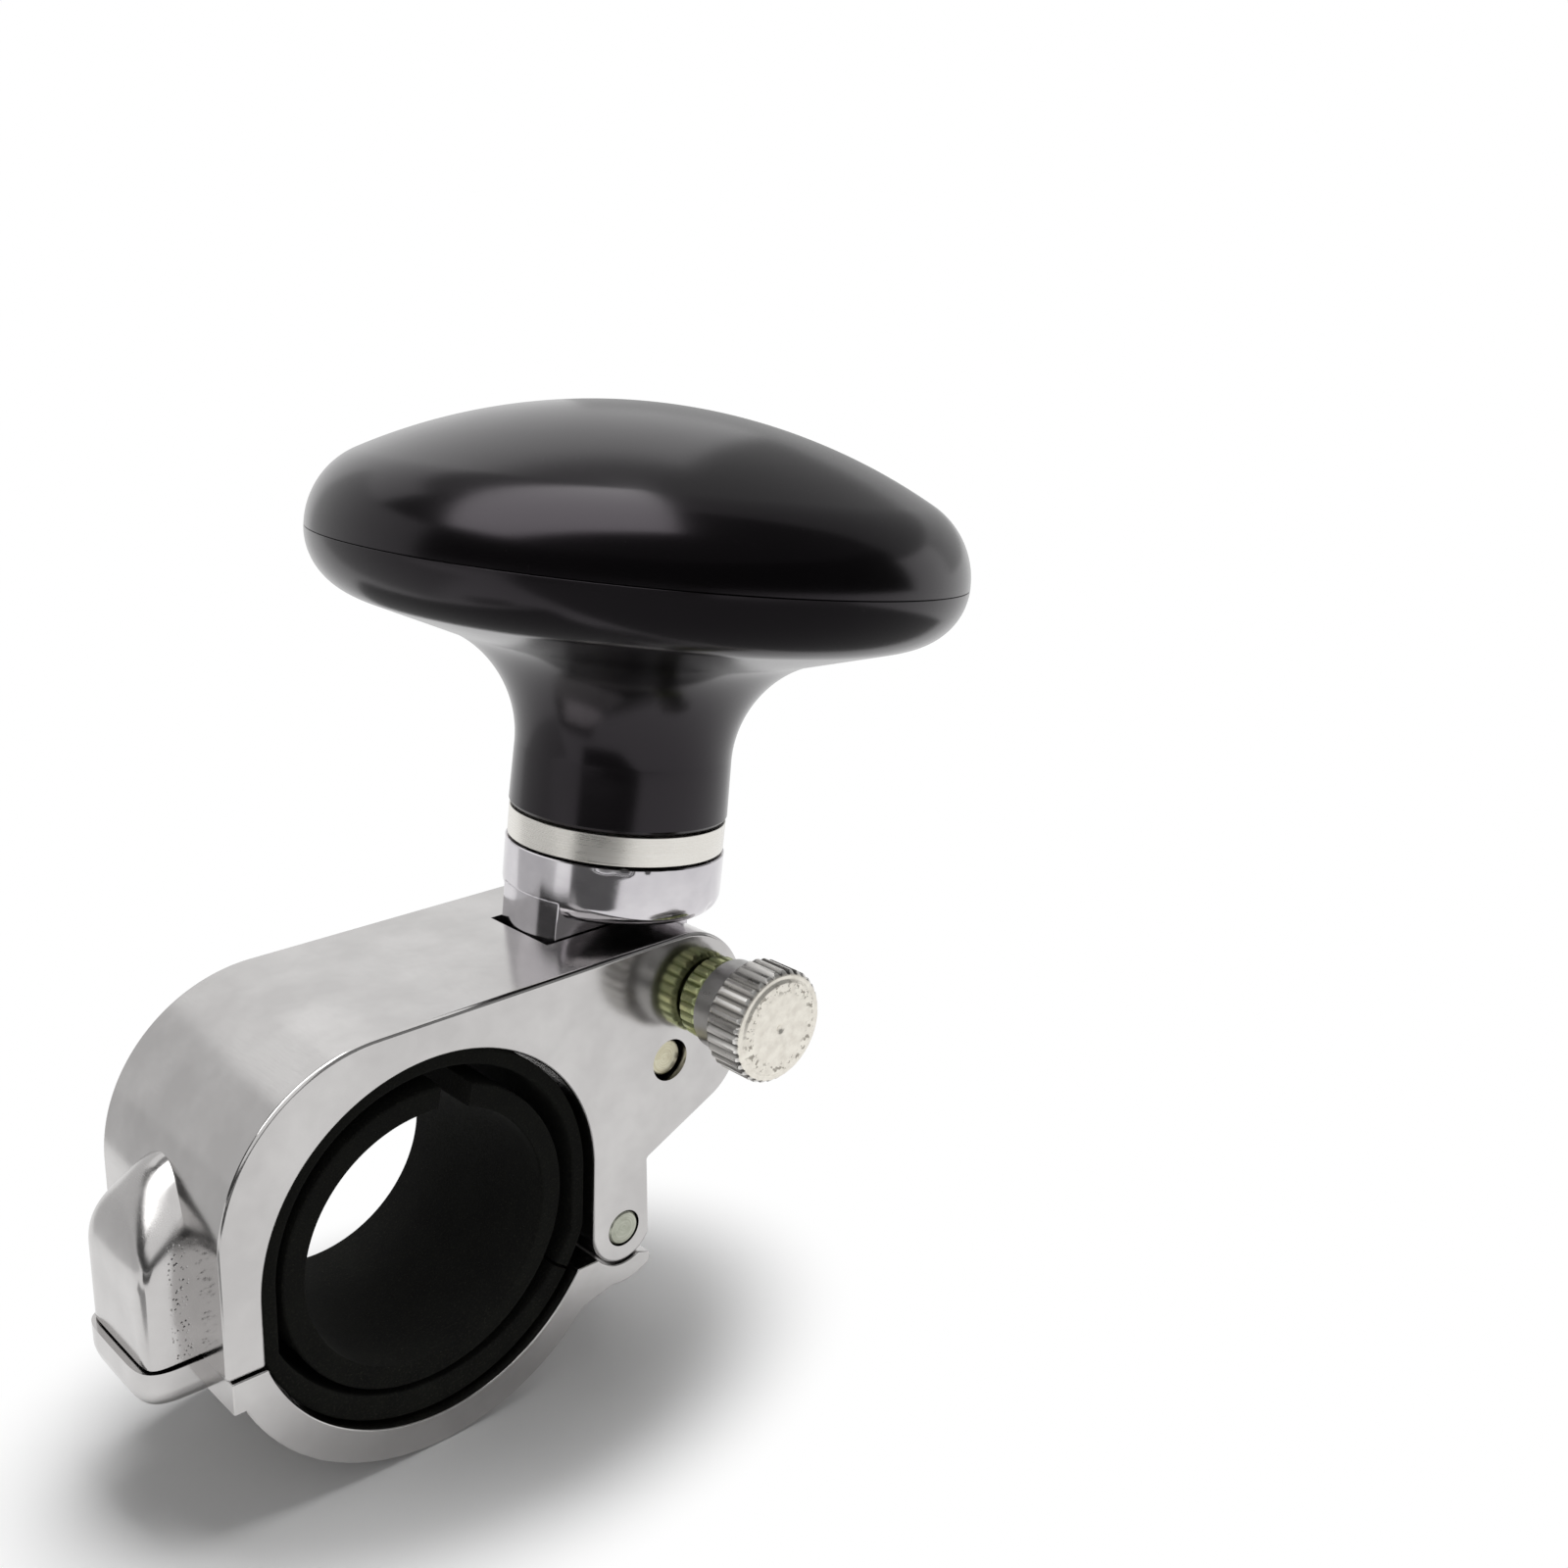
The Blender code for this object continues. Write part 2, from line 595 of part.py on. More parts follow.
def build_cap(parts, cutters):
    """The lower half of the clamp, which swings on the hinge pin."""
    cap = outline_solid("clamp_cap", [cap_outline()], CLAMP_WIDTH, parts, rotation=ROW_TO_FRONT)
    bevel(cap, EDGE_BEVEL)
    combine(cap, loft("screw_lug", cap_lug_rings(), cutters), "UNION")
    web_half = KNUCKLE_RADIUS
    web_bottom = -EAR_RADIUS - GAP - LEAF_THICKNESS / 2
    knuckle = [(web_half, web_bottom)]
    knuckle += arc((0, 0), KNUCKLE_RADIUS, 0, math.pi, 14)
    knuckle.append((-web_half, web_bottom))
    hinge = dict(location=(HINGE_X, 0, HINGE_Z), rotation=ROW_TO_FRONT)
    block = outline_solid("knuckle", [knuckle], KNUCKLE_WIDTH, cutters, **hinge)
    combine(cap, block, "UNION")
    bore = pin_profile(HINGE_PIN_RADIUS + PIN_GAP, -CLAMP_WIDTH, CLAMP_WIDTH)
    combine(cap, turned("knuckle_bore", bore, cutters, **hinge), "DIFFERENCE")
    hole = pin_profile(SCREW_RADIUS + GAP, CAP_TOP - CLAMP_WIDTH / 2, CAP_TOP + GAP)
    screw_place = dict(location=(SCREW_X, 0, 0))
    combine(cap, turned("screw_passage", hole, cutters, **screw_place), "DIFFERENCE")
    head_top = CAP_TOP - SCREW_SEAT_THICKNESS
    hole = pin_profile(SCREW_HEAD_RADIUS + GAP, CAP_TOP - CLAMP_WIDTH, head_top)
    combine(cap, turned("screw_counterbore", hole, cutters, **screw_place), "DIFFERENCE")
    return cap


def build_hinge_pin(parts):
    """The plain pin of the cap's hinge, flush with both faces of the clamp."""
    half = CLAMP_WIDTH / 2
    profile = pin_profile(HINGE_PIN_RADIUS, -half, half, chamfer=PIN_GAP)
    where = dict(location=(HINGE_X, 0, HINGE_Z), rotation=ROW_TO_FRONT)
    return turned("hinge_pin", profile, parts, **where)


def build_clamp_screw(parts, cutters):
    """The socket-head screw that pulls the cap up to the saddle."""
    head_top = CAP_TOP - SCREW_SEAT_THICKNESS - GAP
    head_bottom = head_top - SCREW_HEAD_HEIGHT
    tip = PARTING_HEIGHT + SCREW_ENGAGEMENT
    chamfer = SCREW_RADIUS / 5
    profile = [
        (0, tip),
        (SCREW_RADIUS - chamfer, tip),
        (SCREW_RADIUS, tip - chamfer),
        (SCREW_RADIUS, head_top),
        (SCREW_HEAD_RADIUS, head_top),
        (SCREW_HEAD_RADIUS, head_bottom + chamfer),
        (SCREW_HEAD_RADIUS - chamfer, head_bottom),
        (0, head_bottom),
    ]
    screw = turned("clamp_screw", profile, parts, location=(SCREW_X, 0, 0))
    corner = SCREW_SOCKET_FLATS / 2 / math.cos(math.pi / 6)
    where = dict(location=(SCREW_X, 0, head_bottom))
    socket = outline_solid(
        "hex_socket", [polygon(corner, 6)], 2 * SCREW_SOCKET_DEPTH, cutters, **where
    )
    combine(screw, socket, "DIFFERENCE")
    return screw


# Rubber liners


def seat_outline(side_inset, floor_inset, side_ease):
    """The closed clamp's seat, moved inwards. Its right half can be eased away from the wall."""
    upper = SEAT_RADIUS - side_inset
    bottom = CAP_SEAT_Z - CAP_SEAT_RADIUS + floor_inset
    drop = PARTING_HEIGHT - bottom
    lower = (upper**2 + drop**2) / (2 * drop)
    centre = (0, bottom + lower)
    dip = math.asin((centre[1] - PARTING_HEIGHT) / lower)
    points = arc((0, 0), upper, 0, math.pi, 36)
    points += arc(centre, lower, math.pi + dip, 2 * math.pi - dip, 36)
    narrower = 1 - side_ease / SEAT_RADIUS
    return [(x * narrower if x > 0 else x, z) for x, z in points]


def slit(name, thickness, angle, collection):
    """A plate that cuts a rubber ring open from its axis outwards, at an angle from +X."""
    far = 2 * SEAT_RADIUS
    low = (0, -CLAMP_WIDTH, -thickness / 2)
    return box(name, low, (far, CLAMP_WIDTH, thickness / 2), collection, rotation=(0, -angle, 0))


def build_liners(parts, cutters):
    """The rubber liner in the seat, and the split adapter ring inside it for a thinner rim."""
    middle = CLAMP_FRONT + LINER_SETBACK + LINER_LENGTH / 2
    outlines = [
        seat_outline(GAP, GAP, LINER_SIDE_EASE),
        seat_outline(GAP + LINER_THICKNESS, GAP + LINER_FLOOR, LINER_SIDE_EASE),
    ]
    where = dict(location=(0, middle, 0), rotation=ROW_TO_FRONT)
    liner = outline_solid("rubber_liner", outlines, LINER_LENGTH, parts, **where)
    combine(liner, slit("liner_slit", LINER_SLIT, LINER_SLIT_ANGLE, cutters), "DIFFERENCE")
    half = LINER_LENGTH / 2
    profile = tube_profile(RING_BORE_RADIUS, RING_OUTER_RADIUS, -half, half)
    rest = (RING_SINK * math.cos(RING_REST_ANGLE), middle, RING_SINK * math.sin(RING_REST_ANGLE))
    where = dict(location=rest, rotation=ROW_TO_FRONT)
    ring = turned("adapter_ring", profile, parts, steps=FINE_STEPS, closed=True, **where)
    split = slit("ring_split", RING_SPLIT_WIDTH, RING_SPLIT_ANGLE, cutters)
    combine(ring, split, "DIFFERENCE")
    return liner, ring


# Arm


def tongue_outline():
    """The tongue seen from the front, before its end is bowed: a heel and a round foot."""
    heel = (-TONGUE_END_RADIUS - GAP, TONGUE_HEEL_HEIGHT)
    top = COLLAR_BOTTOM + COLLAR_ROUND
    start = tangent_from(heel, TONGUE_ROUND_RADIUS)
    points = [(heel[0], top), heel]
    points += arc((0, 0), TONGUE_ROUND_RADIUS, start, 2 * math.pi, 16)
    points.append((TONGUE_ROUND_RADIUS, top))
    return points


def plunger_in_arm():
    """The lock plunger's place in the arm's frame: its distance from the pivot and its angle."""
    x, z = PLUNGER_X - PIVOT_X, PLUNGER_Z - PIVOT_Z
    return math.hypot(x, z), math.atan2(z, x) + ARM_LEAN


def lock_groove_rings():
    """The ramp that lifts the plunger as the arm folds, from its deep end to where it runs out."""
    reach, start = plunger_in_arm()
    half = PLUNGER_RADIUS + GAP
    lead = math.asin(half / reach)
    face = -TONGUE_WIDTH / 2
    rings = []
    steps = 16
    for i in range(steps + 1):
        turn = (FOLD_RANGE + lead) * i / steps
        lift = PLUNGER_TRAVEL * max(turn - lead, 0) / FOLD_RANGE
        floor = face + PLUNGER_ENGAGEMENT + GAP - lift
        angle = start + turn
        ring = []
        for radius, depth in (
            (reach - half, floor),
            (reach + half, floor),
            (reach + half, face - GAP * 4),
            (reach - half, face - GAP * 4),
        ):
            ring.append((radius * math.cos(angle), depth, radius * math.sin(angle)))
        rings.append(ring)
    return rings


def build_arm(parts, cutters, axes):
    """The arm: a polished round collar on a flat tongue, with its pivot hole and lock groove."""
    arm_axis = axes["arm"]
    profile = [(0, COLLAR_TOP), (COLLAR_RADIUS, COLLAR_TOP)]
    rounding = arc(
        (COLLAR_RADIUS - COLLAR_ROUND, COLLAR_BOTTOM + COLLAR_ROUND), COLLAR_ROUND, 0, -math.pi / 2, 5
    )
    profile += rounding
    profile.append((0, COLLAR_BOTTOM))
    arm = turned("pivot_arm", profile, parts, steps=FINE_STEPS, parent=arm_axis)
    where = dict(parent=arm_axis, rotation=ROW_TO_FRONT)
    tongue = outline_solid("tongue", [tongue_outline()], TONGUE_WIDTH, cutters, **where)
    bow = pin_profile(TONGUE_END_RADIUS, -COLLAR_BOTTOM, COLLAR_TOP)
    bowed_end = turned("bowed_end", bow, cutters, steps=FINE_STEPS, parent=arm_axis)
    combine(tongue, bowed_end, "INTERSECT")
    combine(arm, tongue, "UNION")
    bore = pin_profile(PIVOT_PIN_RADIUS + PIN_GAP, -TONGUE_WIDTH, TONGUE_WIDTH)
    combine(arm, turned("tongue_bore", bore, cutters, **where), "DIFFERENCE")
    seat_bottom = COLLAR_TOP - SPINDLE_SEAT_DEPTH - GAP
    bore = pin_profile(SPINDLE_RADIUS + GAP, seat_bottom, COLLAR_TOP + GAP)
    combine(arm, turned("spindle_bore", bore, cutters, parent=arm_axis), "DIFFERENCE")
    combine(arm, loft("lock_groove", lock_groove_rings(), cutters, parent=arm_axis), "DIFFERENCE")
    reach, angle = plunger_in_arm()
    face = TONGUE_WIDTH / 2
    hole = pin_profile(PLUNGER_RADIUS + GAP, face - PLUNGER_ENGAGEMENT - GAP, face + 4 * GAP)
    where["location"] = (reach * math.cos(angle), 0, reach * math.sin(angle))
    combine(arm, turned("lock_hole", hole, cutters, **where), "DIFFERENCE")
    return arm


def build_pivot_pin(parts):
    """The headed pin the arm folds on. Its head stands on the back and its end is sunk in front."""
    front = CLAMP_WIDTH / 2 - PIVOT_PIN_RECESS
    back = -CLAMP_WIDTH / 2 - GAP
    head = back - PIVOT_HEAD_HEIGHT
    chamfer = PIVOT_HEAD_HEIGHT / 4
    profile = [
        (0, front),
        (PIVOT_PIN_RADIUS, front),
        (PIVOT_PIN_RADIUS, back),
        (PIVOT_HEAD_RADIUS, back),
        (PIVOT_HEAD_RADIUS, head + chamfer),
        (PIVOT_HEAD_RADIUS - chamfer, head),
        (0, head),
    ]
    where = dict(location=(PIVOT_X, 0, PIVOT_Z), rotation=ROW_TO_FRONT)
    return turned("pivot_pin", profile, parts, **where)


# Lock plunger, along an axis that starts at the clamp's front face and points outwards


def chamfered(radius, bottom, top, chamfer):
    """A disc with both rims chamfered, used to trim a knurl."""
    return pin_profile(radius, bottom, top, chamfer)


def build_bushing(parts, cutters, axis):
    """The knurled guide bushing, screwed into the lug."""
    bottom = GAP
    top = bottom + BUSHING_HEAD_LENGTH
    outline = toothed_outline(BUSHING_HEAD_RADIUS, BUSHING_FLUTE_DEPTH, BUSHING_FLUTES)
    where = dict(parent=axis, location=(0, 0, (bottom + top) / 2))
    bushing = outline_solid("plunger_bushing", [outline], BUSHING_HEAD_LENGTH, parts, **where)
    trim = chamfered(BUSHING_HEAD_RADIUS + GAP, -BUSHING_HEAD_LENGTH / 2, BUSHING_HEAD_LENGTH / 2, 0.0006)
    trim_where = dict(parent=axis, location=(0, 0, (bottom + top) / 2))
    combine(bushing, turned("bushing_trim", trim, cutters, **trim_where), "INTERSECT")
    inner_face = -(CLAMP_WIDTH - SLOT_WIDTH) / 2 + GAP
    barrel = pin_profile(BUSHING_BARREL_RADIUS, inner_face, bottom + BUSHING_HEAD_LENGTH / 2)
    combine(bushing, turned("bushing_barrel", barrel, cutters, parent=axis), "UNION")
    bore = [
        (0, top + GAP),
        (STEM_RADIUS + GAP, top + GAP),
        (STEM_RADIUS + GAP, top - BUSHING_END_WALL),
        (PLUNGER_RADIUS + GAP, top - BUSHING_END_WALL),
        (PLUNGER_RADIUS + GAP, inner_face - GAP),
        (0, inner_face - GAP),
    ]
    combine(bushing, turned("bushing_hole", bore, cutters, parent=axis), "DIFFERENCE")
    return bushing


def plunger_stations():
    """Where the plunger's tip, its shoulder and the spring's far end lie on its axis."""
    tip = -(CLAMP_WIDTH - TONGUE_WIDTH) / 2 - PLUNGER_ENGAGEMENT
    shoulder = tip + PLUNGER_HEAD_LENGTH
    wall = GAP + BUSHING_HEAD_LENGTH - BUSHING_END_WALL
    return tip, shoulder, wall


def build_plunger(parts, axis):
    """The plunger pin: a thick head that enters the tongue, and a thin stem for the pull knob."""
    tip, shoulder, _ = plunger_stations()
    chamfer = PLUNGER_RADIUS / 6
    profile = [
        (0, STEM_TOP),
        (STEM_RADIUS, STEM_TOP),
        (STEM_RADIUS, shoulder),
        (PLUNGER_RADIUS, shoulder),
        (PLUNGER_RADIUS, tip + chamfer),
        (PLUNGER_RADIUS - chamfer, tip),
        (0, tip),
    ]
    return turned("plunger_pin", profile, parts, parent=axis)


def build_spring(parts, axis):
    """The coil spring that pushes the plunger inwards."""
    _, shoulder, wall = plunger_stations()
    low = shoulder + GAP + SPRING_WIRE_RADIUS
    high = wall - GAP - SPRING_WIRE_RADIUS
    curve = bpy.data.curves.new("plunger_spring", "CURVE")
    curve.dimensions = "3D"
    curve.bevel_depth = SPRING_WIRE_RADIUS
    curve.bevel_resolution = 1
    curve.use_fill_caps = True
    per_turn = 12
    count = SPRING_TURNS * per_turn
    spline = curve.splines.new("POLY")
    spline.points.add(count)
    for i, point in enumerate(spline.points):
        angle = 2 * math.pi * i / per_turn
        height = low + (high - low) * i / count
        point.co = (SPRING_RADIUS * math.cos(angle), SPRING_RADIUS * math.sin(angle), height, 1)
    return place(bpy.data.objects.new("plunger_spring", curve), collection=parts, parent=axis)


def build_pull_knob(parts, cutters, axis):
    """The knurled pull knob, with a smooth collar and a dimpled end face."""
    bottom = GAP + BUSHING_HEAD_LENGTH + GAP
    grip_bottom = bottom + PULL_KNOB_COLLAR_LENGTH
    grip_top = grip_bottom + PULL_KNOB_GRIP_LENGTH
    middle = dict(parent=axis, location=(0, 0, (grip_bottom + grip_top) / 2))
    outline = toothed_outline(PULL_KNOB_RADIUS, PULL_KNOB_TOOTH_DEPTH, PULL_KNOB_TEETH)
    knob = outline_solid("pull_knob", [outline], PULL_KNOB_GRIP_LENGTH, parts, **middle)
    half = PULL_KNOB_GRIP_LENGTH / 2
    trim = chamfered(PULL_KNOB_RADIUS + GAP, -half, half, PULL_KNOB_CHAMFER + GAP)
    combine(knob, turned("knob_trim", trim, cutters, **middle), "INTERSECT")
    face_radius = PULL_KNOB_RADIUS - PULL_KNOB_TOOTH_DEPTH - PULL_KNOB_CHAMFER
    top = grip_top + PULL_KNOB_FACE_HEIGHT
    core = [
        (0, top - PULL_KNOB_DIMPLE_RADIUS / 2),
        (PULL_KNOB_DIMPLE_RADIUS, top),
        (face_radius - PULL_KNOB_FACE_HEIGHT, top),
        (face_radius, grip_top),
        (face_radius, (grip_top + grip_bottom) / 2),
        (PULL_KNOB_COLLAR_RADIUS, (grip_top + grip_bottom) / 2),
        (PULL_KNOB_COLLAR_RADIUS, bottom + PIN_GAP),
        (PULL_KNOB_COLLAR_RADIUS - PIN_GAP, bottom),
        (0, bottom),
    ]
    core_solid = turned("knob_core", core, cutters, steps=FINE_STEPS, parent=axis)
    combine(knob, core_solid, "UNION")
    hole = pin_profile(STEM_RADIUS + PIN_GAP, bottom - GAP, STEM_TOP + GAP)
    combine(knob, turned("stem_hole", hole, cutters, parent=axis), "DIFFERENCE")
    return knob


# Spindle, bearings and fasteners inside the knob


def build_spindle(parts, axis):
    """The spindle: seated in the collar, with a flange that carries the lower bearing."""
    flange_top = LOWER_BEARING - BEARING_WIDTH / 2 - GAP
    profile = [
        (0, NUT_TOP + SPINDLE_TIP),
        (SPINDLE_RADIUS, NUT_TOP + SPINDLE_TIP),
        (SPINDLE_RADIUS, flange_top),
        (SPINDLE_FLANGE_RADIUS, flange_top),
        (SPINDLE_FLANGE_RADIUS, RING_BOTTOM),
        (SPINDLE_RADIUS, RING_BOTTOM),
        (SPINDLE_RADIUS, COLLAR_TOP - SPINDLE_SEAT_DEPTH),
        (0, COLLAR_TOP - SPINDLE_SEAT_DEPTH),
    ]
    return turned("spindle", profile, parts, parent=axis)


def race_profile(wall_radius, groove_side_radius, height):
    """A bearing race with its ball groove. The groove faces the balls' pitch circle."""
    groove = BALL_RADIUS + BALL_GAP
    offset = groove_side_radius - PITCH_RADIUS
    half = BEARING_WIDTH / 2
    reach = math.acos(abs(offset) / groove)
    if offset > 0:
        profile = [(wall_radius, height + half), (wall_radius, height - half)]
        profile += [(groove_side_radius, height - half)]
        profile += arc((PITCH_RADIUS, height), groove, -reach, reach, 4)
        profile += [(groove_side_radius, height + half)]
        return profile
    profile = [(groove_side_radius, height + half)]
    profile += arc((PITCH_RADIUS, height), groove, math.pi - reach, math.pi + reach, 4)
    profile += [(groove_side_radius, height - half), (wall_radius, height - half)]
    profile += [(wall_radius, height + half)]
    return profile


def build_bearing(name, height, parts, cutters, arm_axis, knob_axis):
    """A ball bearing: inner race on the spindle, outer race in the knob, and caged balls."""
    inner = race_profile(RACE_BORE_RADIUS, RACE_BORE_RADIUS + RACE_WALL, height)
    outer = race_profile(BEARING_OUTER_RADIUS, BEARING_OUTER_RADIUS - RACE_WALL, height)
    built = {
        "races": [
            turned(f"{name}_bearing_inner_race", inner, parts, closed=True, parent=arm_axis),
            turned(f"{name}_bearing_outer_race", outer, parts, closed=True, parent=knob_axis),
        ],
        "balls": [],
    }
    places = [
        Vector((x, y, height)) for x, y in polygon(PITCH_RADIUS, BALLS_PER_BEARING, math.pi / 2)
    ]
    for number, centre in enumerate(places, 1):
        ball = spheres(
            f"{name}_bearing_ball_{number}", [(0, 0, 0)], BALL_RADIUS, parts, parent=arm_axis
        )
        ball.location = centre
        built["balls"].append(ball)
    pocket = BALL_RADIUS + BALL_GAP
    ring = tube_profile(
        PITCH_RADIUS - CAGE_WALL / 2,
        PITCH_RADIUS + CAGE_WALL / 2,
        height - pocket - CAGE_FLOOR,
        height + CAGE_RISE,
    )
    steps = 4 * BALLS_PER_BEARING
    cage = turned(
        f"{name}_bearing_cage", ring, parts, steps=steps, closed=True, parent=arm_axis
    )
    pockets = spheres(f"{name}_cage_pockets", places, pocket, cutters, parent=arm_axis)
    combine(cage, pockets, "DIFFERENCE")
    built["cage"] = cage
    return built


def build_spindle_stack(parts, cutters, axis):
    """The spacer between the inner races, the washer and the nut on top."""
    low = LOWER_BEARING + BEARING_WIDTH / 2 + GAP
    high = UPPER_BEARING - BEARING_WIDTH / 2 - GAP
    profile = tube_profile(RACE_BORE_RADIUS, SPACER_RADIUS, low, high)
    spacer = turned("bearing_spacer", profile, parts, closed=True, parent=axis)
    top = WASHER_BOTTOM + WASHER_THICKNESS
    profile = tube_profile(RACE_BORE_RADIUS, WASHER_RADIUS, WASHER_BOTTOM, top)
    washer = turned("spindle_washer", profile, parts, closed=True, parent=axis)
    corner = NUT_FLATS / 2 / math.cos(math.pi / 6)
    outlines = [polygon(corner, 6), polygon(RACE_BORE_RADIUS, SMALL_STEPS)]
    where = dict(parent=axis, location=(0, 0, (NUT_BOTTOM + NUT_TOP) / 2))
    nut = outline_solid("spindle_nut", outlines, NUT_HEIGHT, parts, **where)
    trim = chamfered(corner + GAP, -NUT_HEIGHT / 2, NUT_HEIGHT / 2, 2.5 * GAP)
    combine(nut, turned("nut_trim", trim, cutters, **where), "INTERSECT")
    return spacer, washer, nut


# Knob head


def under_line(radius):
    """The height of the head's conical underside at a radius."""
    tangent = (
        HEAD_RADIUS - UNDER_RIM_RADIUS + UNDER_RIM_RADIUS * math.sin(UNDER_SLOPE),
        EQUATOR_HEIGHT - UNDER_RIM_RADIUS * math.cos(UNDER_SLOPE),
    )
    return tangent[1] - (tangent[0] - radius) * math.tan(UNDER_SLOPE)


def head_underside():
    """The outside of the lower half, from the equator down to the foot of the neck."""
    rim = (HEAD_RADIUS - UNDER_RIM_RADIUS, EQUATOR_HEIGHT)
    first = -math.asin(GAP / 2 / UNDER_RIM_RADIUS)
    points = arc(rim, UNDER_RIM_RADIUS, first, UNDER_SLOPE - math.pi / 2, 8)
    fillet_x = NECK_RADIUS + NECK_FILLET_RADIUS
    fillet_z = under_line(fillet_x) - NECK_FILLET_RADIUS / math.cos(UNDER_SLOPE)
    fillet = (fillet_x, fillet_z)
    points += arc(fillet, NECK_FILLET_RADIUS, math.pi / 2 + UNDER_SLOPE, math.pi, 8)
    points.append((NECK_FOOT_RADIUS, NECK_BOTTOM))
    return points


def build_knob_base(parts, axis):
    """The lower half of the knob with its neck, in one moulding, with both bearing seats."""
    wall_radius = HEAD_RADIUS - RIM_WALL
    step_z = EQUATOR_HEIGHT - SPIGOT_LENGTH - 2 * GAP
    step_radius = wall_radius - SPIGOT_WALL + GAP
    floor_rise = SHELL_WALL / math.cos(UNDER_SLOPE)
    web_radius = BEARING_OUTER_RADIUS - RACE_WALL - GAP
    profile = head_underside()
    profile += [
        (BEARING_SEAT_RADIUS, NECK_BOTTOM),
        (BEARING_SEAT_RADIUS, LOWER_BEARING + BEARING_WIDTH / 2 + GAP),
        (web_radius, LOWER_BEARING + BEARING_WIDTH / 2 + GAP),
        (web_radius, UPPER_BEARING - BEARING_WIDTH / 2 - GAP),
        (BEARING_SEAT_RADIUS, UPPER_BEARING - BEARING_WIDTH / 2 - GAP),
        (BEARING_SEAT_RADIUS, under_line(BEARING_SEAT_RADIUS) + floor_rise),
        (step_radius, under_line(step_radius) + floor_rise),
        (step_radius, step_z),
        (wall_radius, step_z),
        (wall_radius, EQUATOR_HEIGHT - GAP / 2),
    ]
    return turned("knob_base", profile, parts, steps=FINE_STEPS, closed=True, parent=axis)


def dome_centre():
    """How far below the equator the dome's crown is centred, so that it meets the rim smoothly."""
    rim = HEAD_RADIUS - DOME_RIM_RADIUS
    rise = DOME_HEIGHT - DOME_RIM_RADIUS
    return (rim**2 - rise**2) / (2 * rise)


def build_knob_cap(parts, axis):
    """The domed upper half of the knob, with the spigot that locates it in the lower half."""
    drop = dome_centre()
    crown = DOME_HEIGHT + drop
    rim_centre = (HEAD_RADIUS - DOME_RIM_RADIUS, EQUATOR_HEIGHT)
    crown_centre = (0, EQUATOR_HEIGHT - drop)
    meet = math.atan2(drop, rim_centre[0])
    first = math.asin(GAP / 2 / DOME_RIM_RADIUS)
    profile = arc(crown_centre, crown, math.pi / 2, meet, 10)
    profile[0] = (0, EQUATOR_HEIGHT + DOME_HEIGHT)
    profile += arc(rim_centre, DOME_RIM_RADIUS, meet, first, 6)[1:]
    spigot_outer = HEAD_RADIUS - RIM_WALL - GAP
    spigot_inner = spigot_outer - SPIGOT_WALL
    spigot_end = EQUATOR_HEIGHT - SPIGOT_LENGTH
    inside = crown - SHELL_WALL
    inner_meet = math.acos(spigot_inner / inside)
    profile += [
        (spigot_outer, EQUATOR_HEIGHT + GAP / 2),
        (spigot_outer, spigot_end),
        (spigot_inner, spigot_end),
    ]
    profile += arc(crown_centre, inside, inner_meet, math.pi / 2, 8)
    profile[-1] = (0, crown_centre[1] + inside)
    return turned("knob_cap", profile, parts, steps=FINE_STEPS, parent=axis)


def build_neck_ring(parts, axis):
    """The bright ring under the neck, whose lip keeps the lower bearing in its seat."""
    lip_top = LOWER_BEARING - BEARING_WIDTH / 2 - GAP
    bore = BEARING_OUTER_RADIUS - RACE_WALL
    profile = [
        (BEARING_OUTER_RADIUS, lip_top),
        (BEARING_OUTER_RADIUS, RING_TOP),
        (NECK_RING_RADIUS, RING_TOP),
        (NECK_RING_RADIUS, RING_BOTTOM),
        (bore, RING_BOTTOM),
        (bore, lip_top),
    ]
    return turned("neck_ring", profile, parts, steps=FINE_STEPS, closed=True, parent=axis)


# The whole part


def build_clamp(parts, cutters, axes, finishes):
    """Both halves of the clamp with its pin, screw and rubber."""
    dress(build_saddle(parts, cutters, axes), finishes["polished"])
    dress(build_cap(parts, cutters), finishes["polished"])
    dress(build_hinge_pin(parts), finishes["steel"])
    dress(build_clamp_screw(parts, cutters), finishes["steel"])
    for rubber in build_liners(parts, cutters):
        dress(rubber, finishes["rubber"])


def build_lock(parts, cutters, axes, finishes):
    """The lock plunger in its bushing."""
    axis = axes["plunger"]
    dress(build_bushing(parts, cutters, axis), finishes["zinc"])
    dress(build_plunger(parts, axis), finishes["steel"])
    dress(build_spring(parts, axis), finishes["steel"])
    dress(build_pull_knob(parts, cutters, axis), finishes["knurled"])


def build_arm_group(parts, cutters, axes, finishes):
    """The arm, its pivot pin and everything that stays still on the spindle."""
    dress(build_arm(parts, cutters, axes), finishes["polished"])
    dress(build_pivot_pin(parts), finishes["brass"])
    dress(build_spindle(parts, axes["arm"]), finishes["steel"])
    for piece in build_spindle_stack(parts, cutters, axes["arm"]):
        dress(piece, finishes["steel"])
    for name, height in (("lower", LOWER_BEARING), ("upper", UPPER_BEARING)):
        bearing = build_bearing(name, height, parts, cutters, axes["arm"], axes["knob"])
        for piece in bearing["races"] + bearing["balls"]:
            dress(piece, finishes["bearing"])
        dress(bearing["cage"], finishes["cage"])


def build_knob(parts, axes, finishes):
    """The knob's two halves and the ring under its neck."""
    dress(build_knob_base(parts, axes["knob"]), finishes["black"])
    dress(build_knob_cap(parts, axes["knob"]), finishes["black"])
    dress(build_neck_ring(parts, axes["knob"]), finishes["brushed"])


